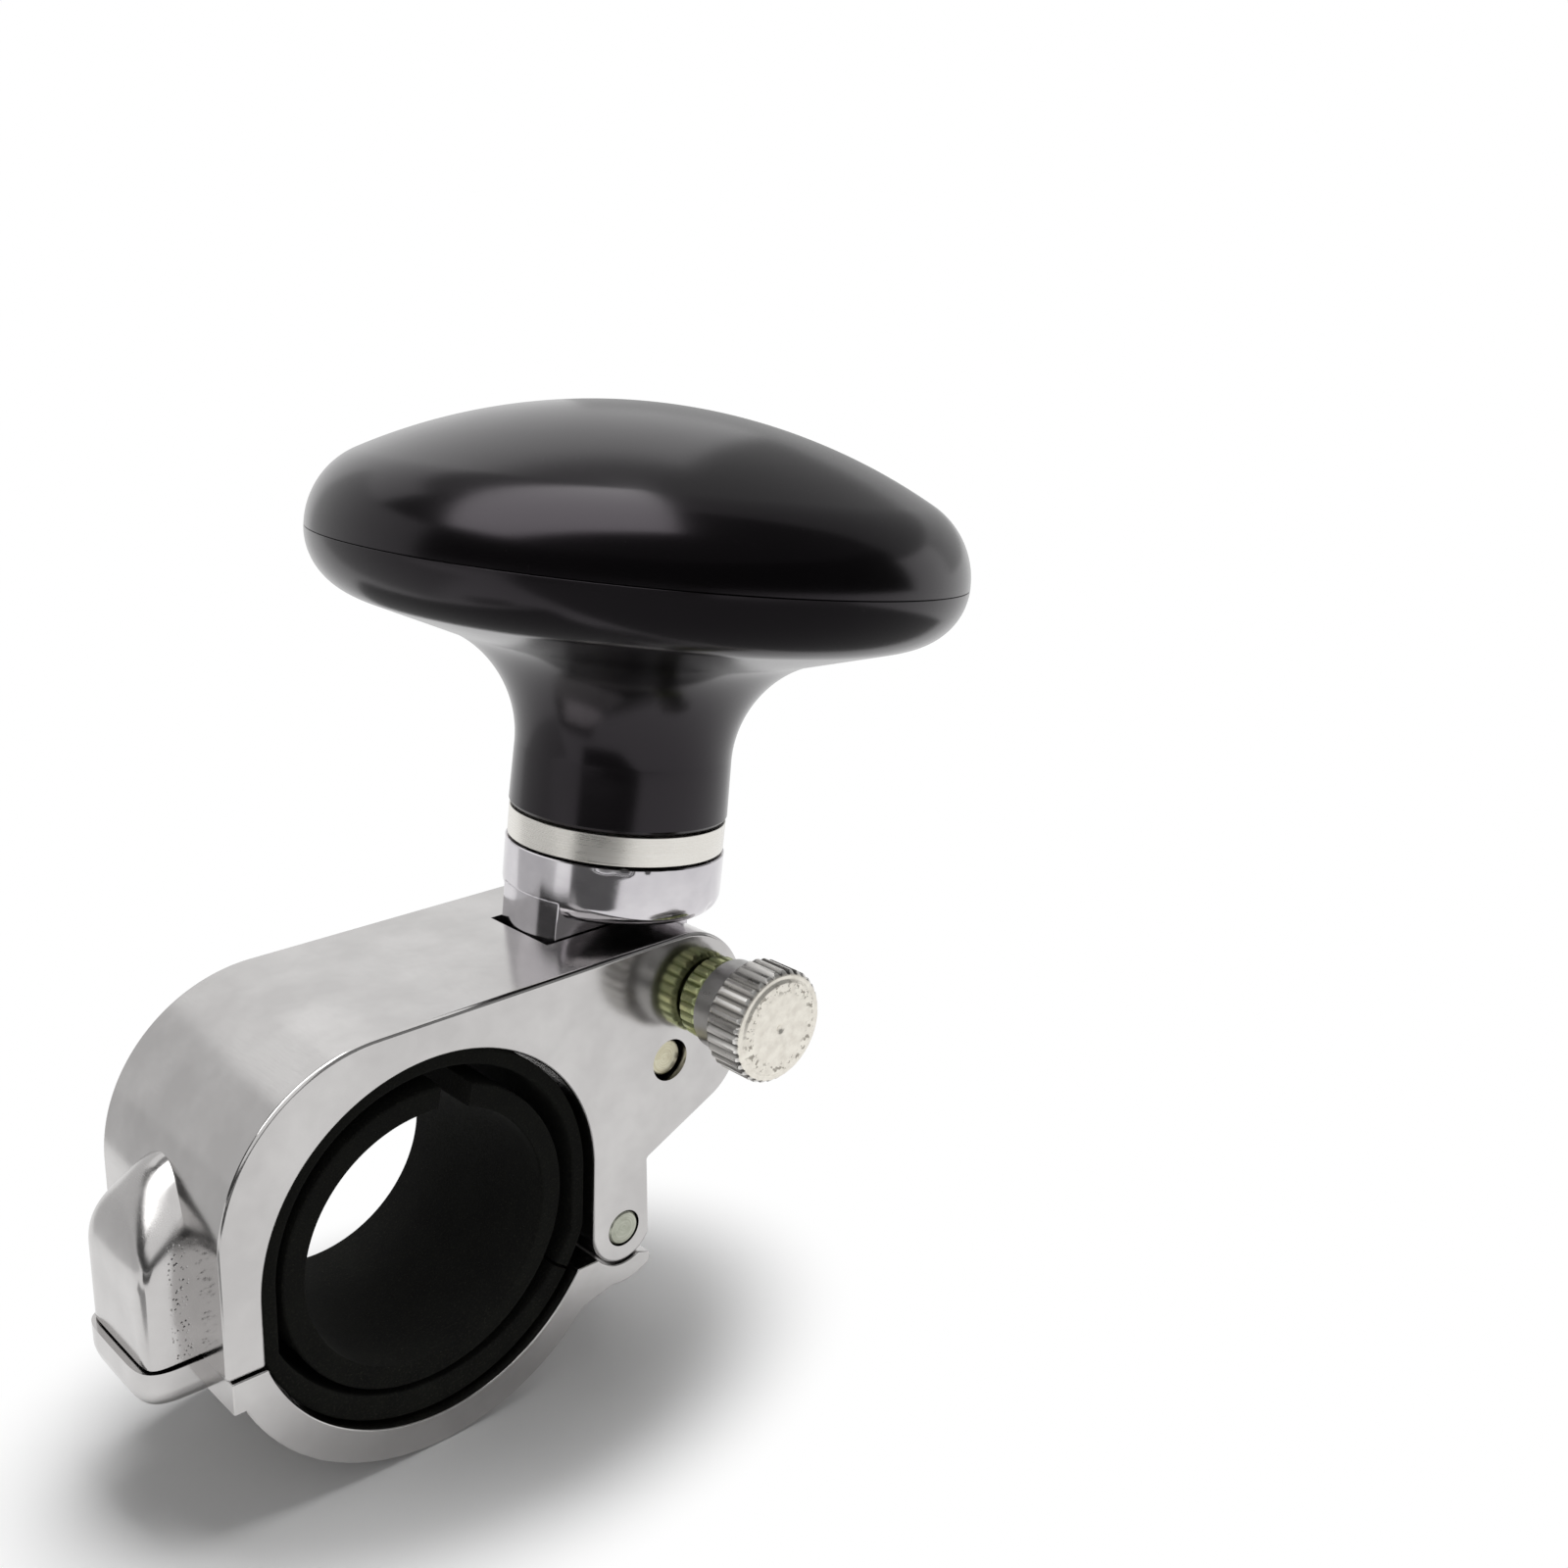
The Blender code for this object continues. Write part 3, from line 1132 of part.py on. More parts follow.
def main():
    """Clears the scene and builds the part."""
    for obj in list(bpy.data.objects):
        bpy.data.objects.remove(obj, do_unlink=True)
    root = bpy.context.scene.collection
    parts = bpy.data.collections.new("steering_wheel_spinner_knob")
    cutters = bpy.data.collections.new("cutters")
    root.children.link(parts)
    root.children.link(cutters)
    arm_axis = axis_empty(
        "arm_pivot_axis", parts, location=(PIVOT_X, 0, PIVOT_Z), rotation=(0, ARM_LEAN, 0)
    )
    plunger_place = (PLUNGER_X, CLAMP_FRONT, PLUNGER_Z)
    axes = {
        "arm": arm_axis,
        "knob": axis_empty("knob_axis", parts, parent=arm_axis),
        "plunger": axis_empty("plunger_axis", parts, location=plunger_place, rotation=ROW_TO_FRONT),
    }
    finishes = {
        "polished": finish("polished_metal", (0.80, 0.79, 0.80), 0.12, 1.0),
        "brushed": finish("brushed_aluminium", (0.83, 0.83, 0.82), 0.32, 1.0),
        "knurled": finish("knurled_nickel", (0.72, 0.72, 0.71), 0.30, 1.0),
        "steel": finish("plain_steel", (0.60, 0.61, 0.58), 0.35, 1.0),
        "bearing": finish("bearing_steel", (0.62, 0.63, 0.65), 0.15, 1.0),
        "cage": finish("cage_brass", (0.75, 0.60, 0.32), 0.35, 1.0),
        "brass": finish("pin_brass", (0.55, 0.46, 0.30), 0.30, 1.0),
        "zinc": finish("yellow_zinc", (0.50, 0.53, 0.24), 0.30, 1.0),
        "rubber": finish("black_rubber", (0.025, 0.024, 0.023), 0.85),
        "black": finish("black_gloss", (0.018, 0.015, 0.018), 0.10),
    }
    bpy.context.view_layer.update()
    build_clamp(parts, cutters, axes, finishes)
    build_arm_group(parts, cutters, axes, finishes)
    build_lock(parts, cutters, axes, finishes)
    build_knob(parts, axes, finishes)
    cutters.hide_render = True


main()
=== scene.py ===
import json
import logging
from dataclasses import dataclass, field
from enum import Enum
from math import acos, asin, atan2, ceil, copysign, cos, dist, exp, hypot, pi, radians, sin, sqrt, tan
from typing import Callable, Optional, Sequence, Union

import bmesh
import bpy
from mathutils import Euler, Matrix, Vector


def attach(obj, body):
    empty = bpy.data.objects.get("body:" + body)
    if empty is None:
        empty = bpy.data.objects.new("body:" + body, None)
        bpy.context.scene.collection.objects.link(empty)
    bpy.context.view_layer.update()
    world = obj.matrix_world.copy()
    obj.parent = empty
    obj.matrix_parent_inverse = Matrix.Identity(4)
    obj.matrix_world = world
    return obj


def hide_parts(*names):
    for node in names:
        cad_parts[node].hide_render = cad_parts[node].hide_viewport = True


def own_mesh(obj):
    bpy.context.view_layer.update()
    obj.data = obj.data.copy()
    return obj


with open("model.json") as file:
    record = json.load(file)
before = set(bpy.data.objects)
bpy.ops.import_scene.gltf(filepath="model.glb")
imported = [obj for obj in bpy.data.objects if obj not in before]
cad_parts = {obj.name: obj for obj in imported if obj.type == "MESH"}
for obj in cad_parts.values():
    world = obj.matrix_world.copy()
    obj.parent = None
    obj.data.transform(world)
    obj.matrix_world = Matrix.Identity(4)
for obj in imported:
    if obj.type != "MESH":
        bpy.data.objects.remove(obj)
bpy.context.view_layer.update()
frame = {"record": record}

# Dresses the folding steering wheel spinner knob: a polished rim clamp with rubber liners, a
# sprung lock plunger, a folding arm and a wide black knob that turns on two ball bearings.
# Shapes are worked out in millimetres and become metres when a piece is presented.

LOG = logging.getLogger("spinner_knob")

MM = 0.001
TURN = 2 * pi
CENTRE = (0.0, 0.0)
GAP = 0.3  # between neighbours in general
PIN_GAP = 0.2  # round a pin in its hole
BALL_GAP = 0.2  # round a ball in its groove
WELD = 0.002  # points this near each other become one
THREAD_END = 0.9  # of a tip's chamfer, below its end face
SHARP_EDGE = radians(30)  # a flatter edge is shaded smooth
ROUNDED_EDGE = radians(40)  # a flatter edge isn't rounded

Flat = tuple[float, float]
Spot = tuple[float, float, float]
Tone = tuple[float, float, float]
Socket = bpy.types.NodeSocket
Value = Union[Socket, float, Sequence[float]]
Piece = bpy.types.Object
Shaping = Callable[[float, float, float], float]


# Lines and profiles


def arc(centre: Flat, radius: float, start: float, end: float, steps: int) -> list[Flat]:
    """Points of an arc of a number of chords from angle start to angle end, both included."""
    angles = [start + (end - start) * i / steps for i in range(steps + 1)]
    return [(centre[0] + radius * cos(a), centre[1] + radius * sin(a)) for a in angles]


def polygon(radius: float, sides: int, turn: float = 0.0) -> list[Flat]:
    """The corners of a regular polygon, the first at angle turn."""
    return arc(CENTRE, radius, turn, turn + TURN * (sides - 1) / sides, sides - 1)


def eased(points: Sequence[Flat], radius: float, closed: bool = False, steps: int = 3) -> list[Flat]:
    """Rounds the corners of a line, with smaller curves where its stretches are short.

    Args:
        points: The line's corners.
        radius: How far from a corner its curve starts.
        closed: True where the last point joins the first.
        steps: How many chords each curve has.

    Returns:
        The line with its corners rounded.
    """
    smallest_turn = radians(25)
    largest_share = 0.45
    made: list[Flat] = []
    count = len(points)
    for i, corner in enumerate(points):
        here = Vector(corner)
        before = Vector(points[i - 1]) - here
        after = Vector(points[(i + 1) % count]) - here
        open_end = not closed and i in (0, count - 1)
        if open_end or before.angle(-after) < smallest_turn:
            made.append(corner)
            continue
        start = here + before.normalized() * min(radius, before.length * largest_share)
        end = here + after.normalized() * min(radius, after.length * largest_share)
        for step in range(steps + 1):
            share = step / steps
            point = start.lerp(here, share).lerp(here.lerp(end, share), share)
            made.append((point.x, point.y))
    return made


def filled(points: Sequence[Flat], longest: float) -> list[Flat]:
    """Adds points to a line until no stretch is longer than given.

    Args:
        points: The line.
        longest: The longest stretch to leave whole.

    Returns:
        The line with the extra points.
    """
    made = [points[0]]
    for first, last in zip(points, points[1:]):
        parts = max(1, ceil(dist(first, last) / longest))
        for i in range(1, parts + 1):
            share = i / parts
            made.append((first[0] + (last[0] - first[0]) * share, first[1] + (last[1] - first[1]) * share))
    return made


def pin_profile(radius: float, bottom: float, top: float, chamfer: float = 0.0) -> list[Flat]:
    """The profile of a plain pin from its top centre to its bottom centre, with its rims cut back."""
    upper = [(0, top), (radius - chamfer, top), (radius, top - chamfer)]
    return [*upper, (radius, bottom + chamfer), (radius - chamfer, bottom), (0, bottom)]


def hollow(bore: float, outer: float, low: float, high: float, ease: float) -> list[Flat]:
    """The closed profile of a plain ring, with its corners eased."""
    return eased([(outer, high), (outer, low), (bore, low), (bore, high)], ease, closed=True)


def threaded(pitch: float, depth: float, start: float, end: float) -> Shaping:
    """A shaping that cuts a thread between two heights.

    Args:
        pitch: The thread's pitch.
        depth: Its depth.
        start: The height at which it runs in over one turn.
        end: The height at which it ends.

    Returns:
        The shaping.
    """

    def shaping(angle: float, radius: float, height: float) -> float:
        """The thread's radius.

        Args:
            angle: The angle about the axis.
            radius: The radius without a thread.
            height: The height.

        Returns:
            The radius.
        """
        if not start <= height <= end:
            return radius
        turn = (height / pitch - angle / TURN) % 1.0
        runout = min((height - start) / pitch, 1.0)
        return radius - depth * runout * (1 - abs(2 * turn - 1))

    return shaping


def facing_front(x: float, y: float, z: float) -> Matrix:
    """A frame whose Z points out of the clamp's front face."""
    return Matrix.Translation((x, y, z)) @ Euler((pi / 2, 0, 0)).to_matrix().to_4x4()


# Solids


def from_faces(name: str, corners: Sequence[Spot], faces: Sequence[Sequence[int]]) -> Piece:
    """A piece from its corners and its faces, which are turned outwards.

    Args:
        name: The piece's name.
        corners: Its corners.
        faces: The corner numbers of each face.

    Returns:
        The piece.
    """
    mesh = bpy.data.meshes.new(name)
    mesh.from_pydata(corners, [], faces)
    work = bmesh.new()
    work.from_mesh(mesh)
    bmesh.ops.recalc_face_normals(work, faces=work.faces)
    work.to_mesh(mesh)
    work.free()
    piece = bpy.data.objects.new(name, mesh)
    bpy.context.scene.collection.objects.link(piece)
    return piece


def revolve(
    name: str,
    profile: Sequence[Flat],
    steps: int = 96,
    place: Matrix = Matrix(),
    closed: bool = False,
    shaping: Optional[Shaping] = None,
) -> Piece:
    """A solid of revolution about the local Z axis.

    Args:
        name: The piece's name.
        profile: Radius and height pairs.
        steps: How many faces go round.
        place: Where the local axis lies.
        closed: True where the profile is a loop that stays off the axis.
        shaping: Gives each point's radius from its angle, radius and height.

    Returns:
        The piece.
    """
    corners: list[Spot] = []
    rows: list[list[int]] = []
    for radius, height in profile:
        if radius < 1e-6:
            rows.append([len(corners)] * steps)
            corners.append((0, 0, height))
            continue
        rows.append(list(range(len(corners), len(corners) + steps)))
        for i in range(steps):
            angle = TURN * i / steps
            reach = shaping(angle, radius, height) if shaping else radius
            corners.append((reach * cos(angle), reach * sin(angle), height))
    if closed:
        rows.append(rows[0])
    faces = []
    for low, high in zip(rows, rows[1:]):
        for i in range(steps):
            j = (i + 1) % steps
            around = list(dict.fromkeys((low[i], low[j], high[j], high[i])))
            if len(around) > 2:
                faces.append(around)
    return from_faces(name, [tuple(place @ Vector(c)) for c in corners], faces)


def loft(name: str, rings: Sequence[Sequence[Spot]], place: Matrix = Matrix()) -> Piece:
    """A closed solid through rings of equally many points.

    Args:
        name: The piece's name.
        rings: The rings from one end to the other.
        place: Where the rings' own frame lies.

    Returns:
        The piece.
    """
    count = len(rings[0])
    corners = [tuple(place @ Vector(point)) for ring in rings for point in ring]
    faces: list[Sequence[int]] = [list(range(count))]
    for low in range(0, len(corners) - count, count):
        for i in range(count):
            j = (i + 1) % count
            faces.append((low + i, low + j, low + count + j, low + count + i))
    faces.append(list(range(len(corners) - count, len(corners))))
    return from_faces(name, corners, faces)


def plate(name: str, outline: Sequence[Flat], front: float, back: float, place: Matrix = Matrix()) -> Piece:
    """A flat piece with an outline in X and Z, between two places along Y."""
    return loft(name, [[(x, y, z) for x, z in outline] for y in (front, back)], place)


def tube(
    name: str, outer: Sequence[Flat], inner: Sequence[Flat], front: float, back: float, edge: float
) -> Piece:
    """A tube along Y between two outlines with equally many points.

    Args:
        name: The piece's name.
        outer: The outer outline in X and Z.
        inner: The inner outline.
        front: The lowest Y.
        back: The highest Y.
        edge: How far the end faces' rims are rounded.

    Returns:
        The piece.
    """
    section = eased([(0, front), (0, back), (1, back), (1, front)], edge, closed=True, steps=4)
    corners: list[Spot] = []
    for (x_out, z_out), (x_in, z_in) in zip(outer, inner):
        wall = hypot(x_in - x_out, z_in - z_out)
        for share, y in section:
            near = min(share, 1 - share)
            if near > 0:
                share = near / wall if share < 0.5 else 1 - near / wall
            corners.append((x_out + (x_in - x_out) * share, y, z_out + (z_in - z_out) * share))
    rows = len(section)
    faces = []
    for here in range(0, len(corners), rows):
        there = (here + rows) % len(corners)
        for j in range(rows):
            k = (j + 1) % rows
            faces.append((here + j, there + j, there + k, here + k))
    return from_faces(name, corners, faces)


def reshape(piece: Piece, kind: str, **settings: object) -> None:
    """Works a modifier into a piece's mesh and welds points that fall together.

    Args:
        piece: The piece.
        kind: The modifier's type.
        settings: The modifier's settings.
    """
    modifier = piece.modifiers.new(kind, kind)
    for name, value in settings.items():
        setattr(modifier, name, value)
    graph = bpy.context.evaluated_depsgraph_get()
    mesh = bpy.data.meshes.new_from_object(piece.evaluated_get(graph))
    piece.modifiers.clear()
    work = bmesh.new()
    work.from_mesh(mesh)
    bmesh.ops.remove_doubles(work, verts=work.verts, dist=WELD)
    work.to_mesh(mesh)
    work.free()
    piece.data = mesh


class Joining(Enum):
    """How a second solid changes the first."""

    CUT = "DIFFERENCE"
    ADD = "UNION"
    KEEP = "INTERSECT"


def combine(piece: Piece, other: Piece, joining: Joining) -> None:
    """Cuts a solid out of a piece, adds it or keeps what lies in it, and removes the solid."""
    reshape(piece, "BOOLEAN", operation=joining.value, solver="EXACT", object=other)
    bpy.data.objects.remove(other)


def drilled(piece: Piece, profile: Sequence[Flat], place: Matrix, steps: int = 64) -> None:
    """Cuts a round hole with a given profile."""
    combine(piece, revolve("drill", profile, steps, place), Joining.CUT)


def round_edges(piece: Piece, width: float, segments: int) -> None:
    """Rounds a piece's sharp edges with a number of faces from a width before the edge."""
    reshape(piece, "BEVEL", width=width, segments=segments, limit_method="ANGLE", angle_limit=ROUNDED_EDGE)


# Finishes


class Slot(Enum):
    """The record's material slots."""

    POLISHED = "polished_metal"
    BRUSHED = "brushed_aluminium"
    KNURLED = "knurled_nickel"
    STEEL = "plain_steel"
    BEARING = "bearing_steel"
    CAGE = "cage_brass"
    PIN = "pin_brass"
    ZINC = "yellow_zinc"
    RUBBER = "black_rubber"
    GLOSS = "black_gloss"


class Nodes:
    """A node tree with short ways to add and join nodes."""

    def __init__(self, tree: bpy.types.NodeTree) -> None:
        """Takes up a tree."""
        self.tree = tree

    def feed(self, target: Socket, value: Value) -> None:
        """Sets an input to a value, or links it to another node's output.

        Args:
            target: The input.
            value: The value or the output.
        """
        if isinstance(value, bpy.types.NodeSocket):
            self.tree.links.new(value, target)
        else:
            target.default_value = value

    def add(
        self,
        kind: str,
        inputs: Optional[dict[Union[int, str], Value]] = None,
        result: Union[int, str] = 0,
        **settings: object,
    ) -> Socket:
        """Adds a node.

        Args:
            kind: Its type.
            inputs: What its inputs are fed with, by name or number.
            result: The output that is wanted.
            settings: Its own settings.

        Returns:
            The output.
        """
        node = self.tree.nodes.new(f"ShaderNode{kind}")
        for name, value in settings.items():
            setattr(node, name, value)
        for key, value in (inputs or {}).items():
            self.feed(node.inputs[key], value)
        return node.outputs[result]

    def calc(self, operation: str, first: Value, second: Value = 0.0) -> Socket:
        """The result of a sum on one or two values."""
        return self.add("Math", {0: first, 1: second}, operation=operation)

    def seen(self) -> Socket:
        """A value that is 1 for camera, glossy and transmission rays.

        Returns:
            The value's socket.
        """
        rays = self.add("LightPath").node.outputs
        value = rays["Is Camera Ray"]
        for name in ("Is Glossy Ray", "Is Transmission Ray"):
            value = self.calc("MAXIMUM", value, rays[name])
        return value


class Sheet(Nodes):
    """A material's nodes, with coordinates in millimetres in the frame of the piece's own axis."""

    def __init__(self, name: str, axis: Matrix) -> None:
        """Starts a material.

        Args:
            name: The material's name.
            axis: The frame that its marks follow.
        """
        self.material = bpy.data.materials.new(name)
        self.material.use_nodes = True
        super().__init__(self.material.node_tree)
        place = {"Location": axis.translation * MM, "Rotation": axis.to_euler(), "Scale": (MM, MM, MM)}
        place["Vector"] = self.add("TexCoord", result="Object")
        self.spot = self.add("Mapping", place, vector_type="TEXTURE")

    def set(self, **values: Value) -> None:
        """Sets the shader's inputs, named with underscores for spaces."""
        for name, value in values.items():
            self.feed(self.tree.nodes["Principled BSDF"].inputs[name.replace("_", " ")], value)

    def metal(self, colour: Socket, rough: Socket, normal: Socket) -> None:
        """Sets the shader up as a metal."""
        self.set(Base_Color=colour, Metallic=1.0, Roughness=rough, Normal=normal)

    def times(self, first: Value, *others: Value) -> Socket:
        """The product of values.

        Args:
            first: The first value.
            others: The other values.

        Returns:
            The product.
        """
        for other in others:
            first = self.calc("MULTIPLY", first, other)
        return first

    def plus(self, first: Value, second: Value) -> Socket:
        """The sum of two values."""
        return self.calc("ADD", first, second)

    def stretch(self, x: float, y: float, z: float, vector: Optional[Socket] = None) -> Socket:
        """Coordinates with each direction multiplied."""
        return self.add("Mapping", {"Scale": (x, y, z), "Vector": vector or self.spot})

    def parts(self) -> tuple[Socket, Socket, Socket]:
        """The X, Y and Z of the place."""
        return tuple(self.add("SeparateXYZ", {0: self.spot}).node.outputs)

    def joined(self, x: Socket, y: Socket, z: Socket) -> Socket:
        """A vector from three values."""
        return self.add("CombineXYZ", {0: x, 1: y, 2: z})

    def round_axis(self) -> tuple[Socket, Socket, Socket]:
        """The angle in radians, the radius and the height about the axis.

        Returns:
            The three values.
        """
        x, y, z = self.parts()
        radius = self.calc("SQRT", self.plus(self.times(x, x), self.times(y, y)))
        return self.calc("ARCTAN2", y, x), radius, z

    def noise(
        self, scale: float, detail: float = 2.0, rough: float = 0.5, vector: Optional[Socket] = None
    ) -> Socket:
        """A smooth random value of about 0 to 1."""
        inputs = {"Vector": vector or self.spot, "Scale": scale, "Detail": detail, "Roughness": rough}
        return self.add("TexNoise", inputs)

    def cells(self, scale: float) -> Socket:
        """The distance to the nearest of scattered points."""
        return self.add("TexVoronoi", {"Vector": self.spot, "Scale": scale}, "Distance")

    def span(self, value: Socket, low: float, high: float, first: float = 0.0, last: float = 1.0) -> Socket:
        """A value's range moved to another range, and held at its ends."""
        inputs = {"Value": value, "From Min": low, "From Max": high, "To Min": first, "To Max": last}
        return self.add("MapRange", inputs)

    def mix(self, share: Socket, first: Value, last: Value) -> Socket:
        """A colour between two, each a socket or a tone."""
        return self.add("Mix", {0: share, 6: tone(first), 7: tone(last)}, 2, data_type="RGBA")

    def relief(self, height: Socket, depth: float, **under: Socket) -> Socket:
        """A surface direction from a height of 0 to 1 that stands for a depth in millimetres."""
        return self.add("Bump", {"Strength": 1.0, "Distance": depth * MM, "Height": height, **under})


def tone(colour: Value) -> Value:
    """The shader colour of a tone in screen values from 0 to 255, or the socket as it is.

    Args:
        colour: The red, green and blue, or a socket.

    Returns:
        The shader's colour or the socket.
    """
    if isinstance(colour, bpy.types.NodeSocket):
        return colour
    shares = [value / 255 for value in colour]
    return (*(s / 12.92 if s <= 0.04045 else ((s + 0.055) / 1.055) ** 2.4 for s in shares), 1.0)


@dataclass(frozen=True)
class Finish:
    """A surface finish that gives a material, with marks that follow an axis."""

    name: str
    slot: Slot
    axis: Matrix = field(default_factory=Matrix, hash=False)

    def material(self) -> bpy.types.Material:
        """Makes the finish's material.

        Returns:
            The material.
        """
        sheet = Sheet(self.name, self.axis)
        self.paint(sheet)
        return sheet.material

    def paint(self, sheet: Sheet) -> None:
        """Lays out the finish's nodes on a sheet."""
        raise NotImplementedError


class Marks(Enum):
    """Which way the tool left its fine marks on the alloy."""

    ALONG_RIM = "along the wheel rim"
    ROUND = "round the axis"


@dataclass(frozen=True)
class PolishedAlloy(Finish):
    """Hand-polished cast alloy: gently wavy, with fine marks and a few casting pits, whose dark tone is
    painted shade.
    """

    marks: Marks = Marks.ALONG_RIM
    pale: Tone = (204, 202, 201)
    dull: Tone = (190, 188, 187)
    gloss: float = 0.13
    pitted: bool = False
    # The pits' dark tone: painted shade inside the pits.
    pit_shade: Tone = (48, 44, 50)

    def paint(self, sheet: Sheet) -> None:
        """Lays out the cloudy tone, the tool marks and the waves.

        Args:
            sheet: The material's sheet.
        """
        cloud = sheet.noise(0.11, 3.0, 0.55)
        if self.marks is Marks.ROUND:
            angle, radius, height = sheet.round_axis()
            around = sheet.stretch(6.0, 0.8, 1.0, sheet.joined(angle, height, radius))
            lines = sheet.noise(1.6, 5.0, 0.7, around)
        else:
            lines = sheet.noise(1.0, 4.0, 0.65, sheet.stretch(7.0, 0.45, 7.0))
        colour = sheet.mix(sheet.span(cloud, 0.38, 0.64), self.dull, self.pale)
        colour = sheet.mix(sheet.span(lines, 0.3, 0.8, 0.0, 0.35), colour, self.dull)
        scratches = sheet.times(sheet.span(lines, 0.56, 0.74), 0.07)
        rough = sheet.plus(sheet.span(cloud, 0.35, 0.7, self.gloss, self.gloss + 0.05), scratches)
        wave = sheet.relief(sheet.noise(0.10, 1.0, 0.4), 0.008)
        normal = sheet.relief(lines, 0.0016, Normal=wave)
        if self.pitted:
            pits, dome = self.casting(sheet)
            # Painted shade: the pits are real bumped dents, and their dark tone stands for the shade inside
            # them.
            colour = sheet.mix(pits, colour, self.pit_shade)
            normal = sheet.relief(sheet.calc("SUBTRACT", 1.0, pits), 0.10, Normal=normal)
            rough = sheet.plus(sheet.plus(rough, sheet.times(dome, 0.10)), sheet.times(pits, 0.3))
        sheet.metal(colour, rough, normal)

    def casting(self, sheet: Sheet) -> tuple[Socket, Socket]:
        """The casting pits beside the screw boss, and the boss's less polished dome.

        Args:
            sheet: The sheet with the coordinates.

        Returns:
            How much of a pit and of the dome each place has.
        """
        x, y, z = sheet.parts()
        across = sheet.times(sheet.span(x, -26.1, -26.5), sheet.span(x, -28.3, -27.7))
        deep = sheet.times(sheet.span(y, -5.0, -5.5), sheet.span(y, -7.9, -7.3))
        upright = sheet.times(sheet.span(z, 6.5, 4.0), sheet.span(z, -6.9, -6.4))
        holes = sheet.span(sheet.cells(2.3), 0.16, 0.32, 1.0, 0.0)
        gate = sheet.span(sheet.noise(0.9, 2.0), 0.40, 0.50)
        dome = sheet.times(sheet.span(x, -26.0, -26.6), sheet.span(z, 3.5, 7.0))
        return sheet.times(holes, gate, upright, across, deep), dome


@dataclass(frozen=True)
class BrushedAluminium(Finish):
    """Bright aluminium, turned: fine lines run round its axis."""

    def paint(self, sheet: Sheet) -> None:
        """Lays out the turned lines.

        Args:
            sheet: The material's sheet.
        """
        angle, radius, height = sheet.round_axis()
        around = sheet.stretch(0.7, 11.0, 1.0, sheet.joined(angle, height, radius))
        lines = sheet.noise(1.0, 5.0, 0.75, around)
        cloud = sheet.noise(0.3)
        colour = sheet.mix(sheet.span(lines, 0.25, 0.75), (214, 210, 203), (236, 234, 229))
        rough = sheet.plus(sheet.span(lines, 0.3, 0.7, 0.20, 0.30), sheet.span(cloud, 0.3, 0.7, 0.0, 0.06))
        sheet.metal(colour, rough, sheet.relief(lines, 0.006))


@dataclass(frozen=True)
class TurnedSteel(Finish):
    """Plain or plated metal straight off the lathe, with rings on its ends and lines round it."""

    pale: Tone = (190, 192, 180)
    dull: Tone = (150, 153, 138)
    gloss: float = 0.26
    rings: float = 7.0
    ring_depth: float = 0.004
    stain: Tone = (120, 118, 100)
    stained: float = 0.25

    def paint(self, sheet: Sheet) -> None:
        """Lays out the turned rings and the faint stains.

        Args:
            sheet: The material's sheet.
        """
        angle, radius, height = sheet.round_axis()
        turned = sheet.stretch(self.rings, self.rings, 0.4, sheet.joined(radius, height, angle))
        lines = sheet.noise(1.0, 4.0, 0.6, turned)
        cloud = sheet.noise(0.7, 3.0, 0.6)
        colour = sheet.mix(sheet.span(lines, 0.3, 0.7), self.dull, self.pale)
        colour = sheet.mix(sheet.span(cloud, 0.5, 0.72, 0.0, self.stained), colour, self.stain)
        rough = sheet.span(cloud, 0.3, 0.7, self.gloss, self.gloss + 0.12)
        sheet.metal(colour, rough, sheet.relief(lines, self.ring_depth))


@dataclass(frozen=True)
class SerratedNickel(Finish):
    """Bright plating over straight serrations, with painted shade that darkens the grooves, and scuffed on
    the end.
    """

    groove: float = 6.4
    crest: float = 6.9
    end: float = 12.0

    def paint(self, sheet: Sheet) -> None:
        """Lays out the flank, with painted shade by its depth, and the end face with its ring of scuffs.

        Args:
            sheet: The material's sheet.
        """
        angle, radius, height = sheet.round_axis()
        cloud = sheet.noise(0.8, 3.0, 0.6)
        lines = sheet.noise(1.0, 4.0, 0.7, sheet.stretch(2.0, 9.0, 1.0, sheet.joined(angle, height, radius)))
        # Painted shade: the flank's colour darkens from the crests down into the grooves.
        depth = sheet.span(radius, self.groove - 0.02, self.crest - 0.1)
        waist = sheet.span(radius, self.groove - 0.6, self.groove - 0.7)
        flank = sheet.mix(waist, sheet.mix(depth, (138, 136, 134), (232, 230, 226)), (178, 177, 175))
        side = sheet.span(height, self.end, self.end - 0.2)
        ring = sheet.times(sheet.span(radius, 4.1, 4.8), sheet.span(radius, 6.0, 5.3))
        scuffs = sheet.span(sheet.noise(1.5, 3.0, 0.6), 0.54, 0.60, 0.0, 0.8)
        scuffed = sheet.times(scuffs, sheet.plus(ring, 0.04), sheet.calc("SUBTRACT", 1.0, side))
        face = sheet.mix(sheet.span(cloud, 0.35, 0.7), (240, 236, 226), (226, 221, 211))
        colour = sheet.mix(side, sheet.mix(scuffed, face, (140, 134, 124)), flank)
        rough = sheet.plus(sheet.span(side, 0.0, 1.0, 0.36, 0.26), sheet.span(cloud, 0.3, 0.7, 0.0, 0.08))
        normal = sheet.relief(sheet.calc("SUBTRACT", lines, scuffed), 0.012)
        sheet.metal(colour, rough, normal)


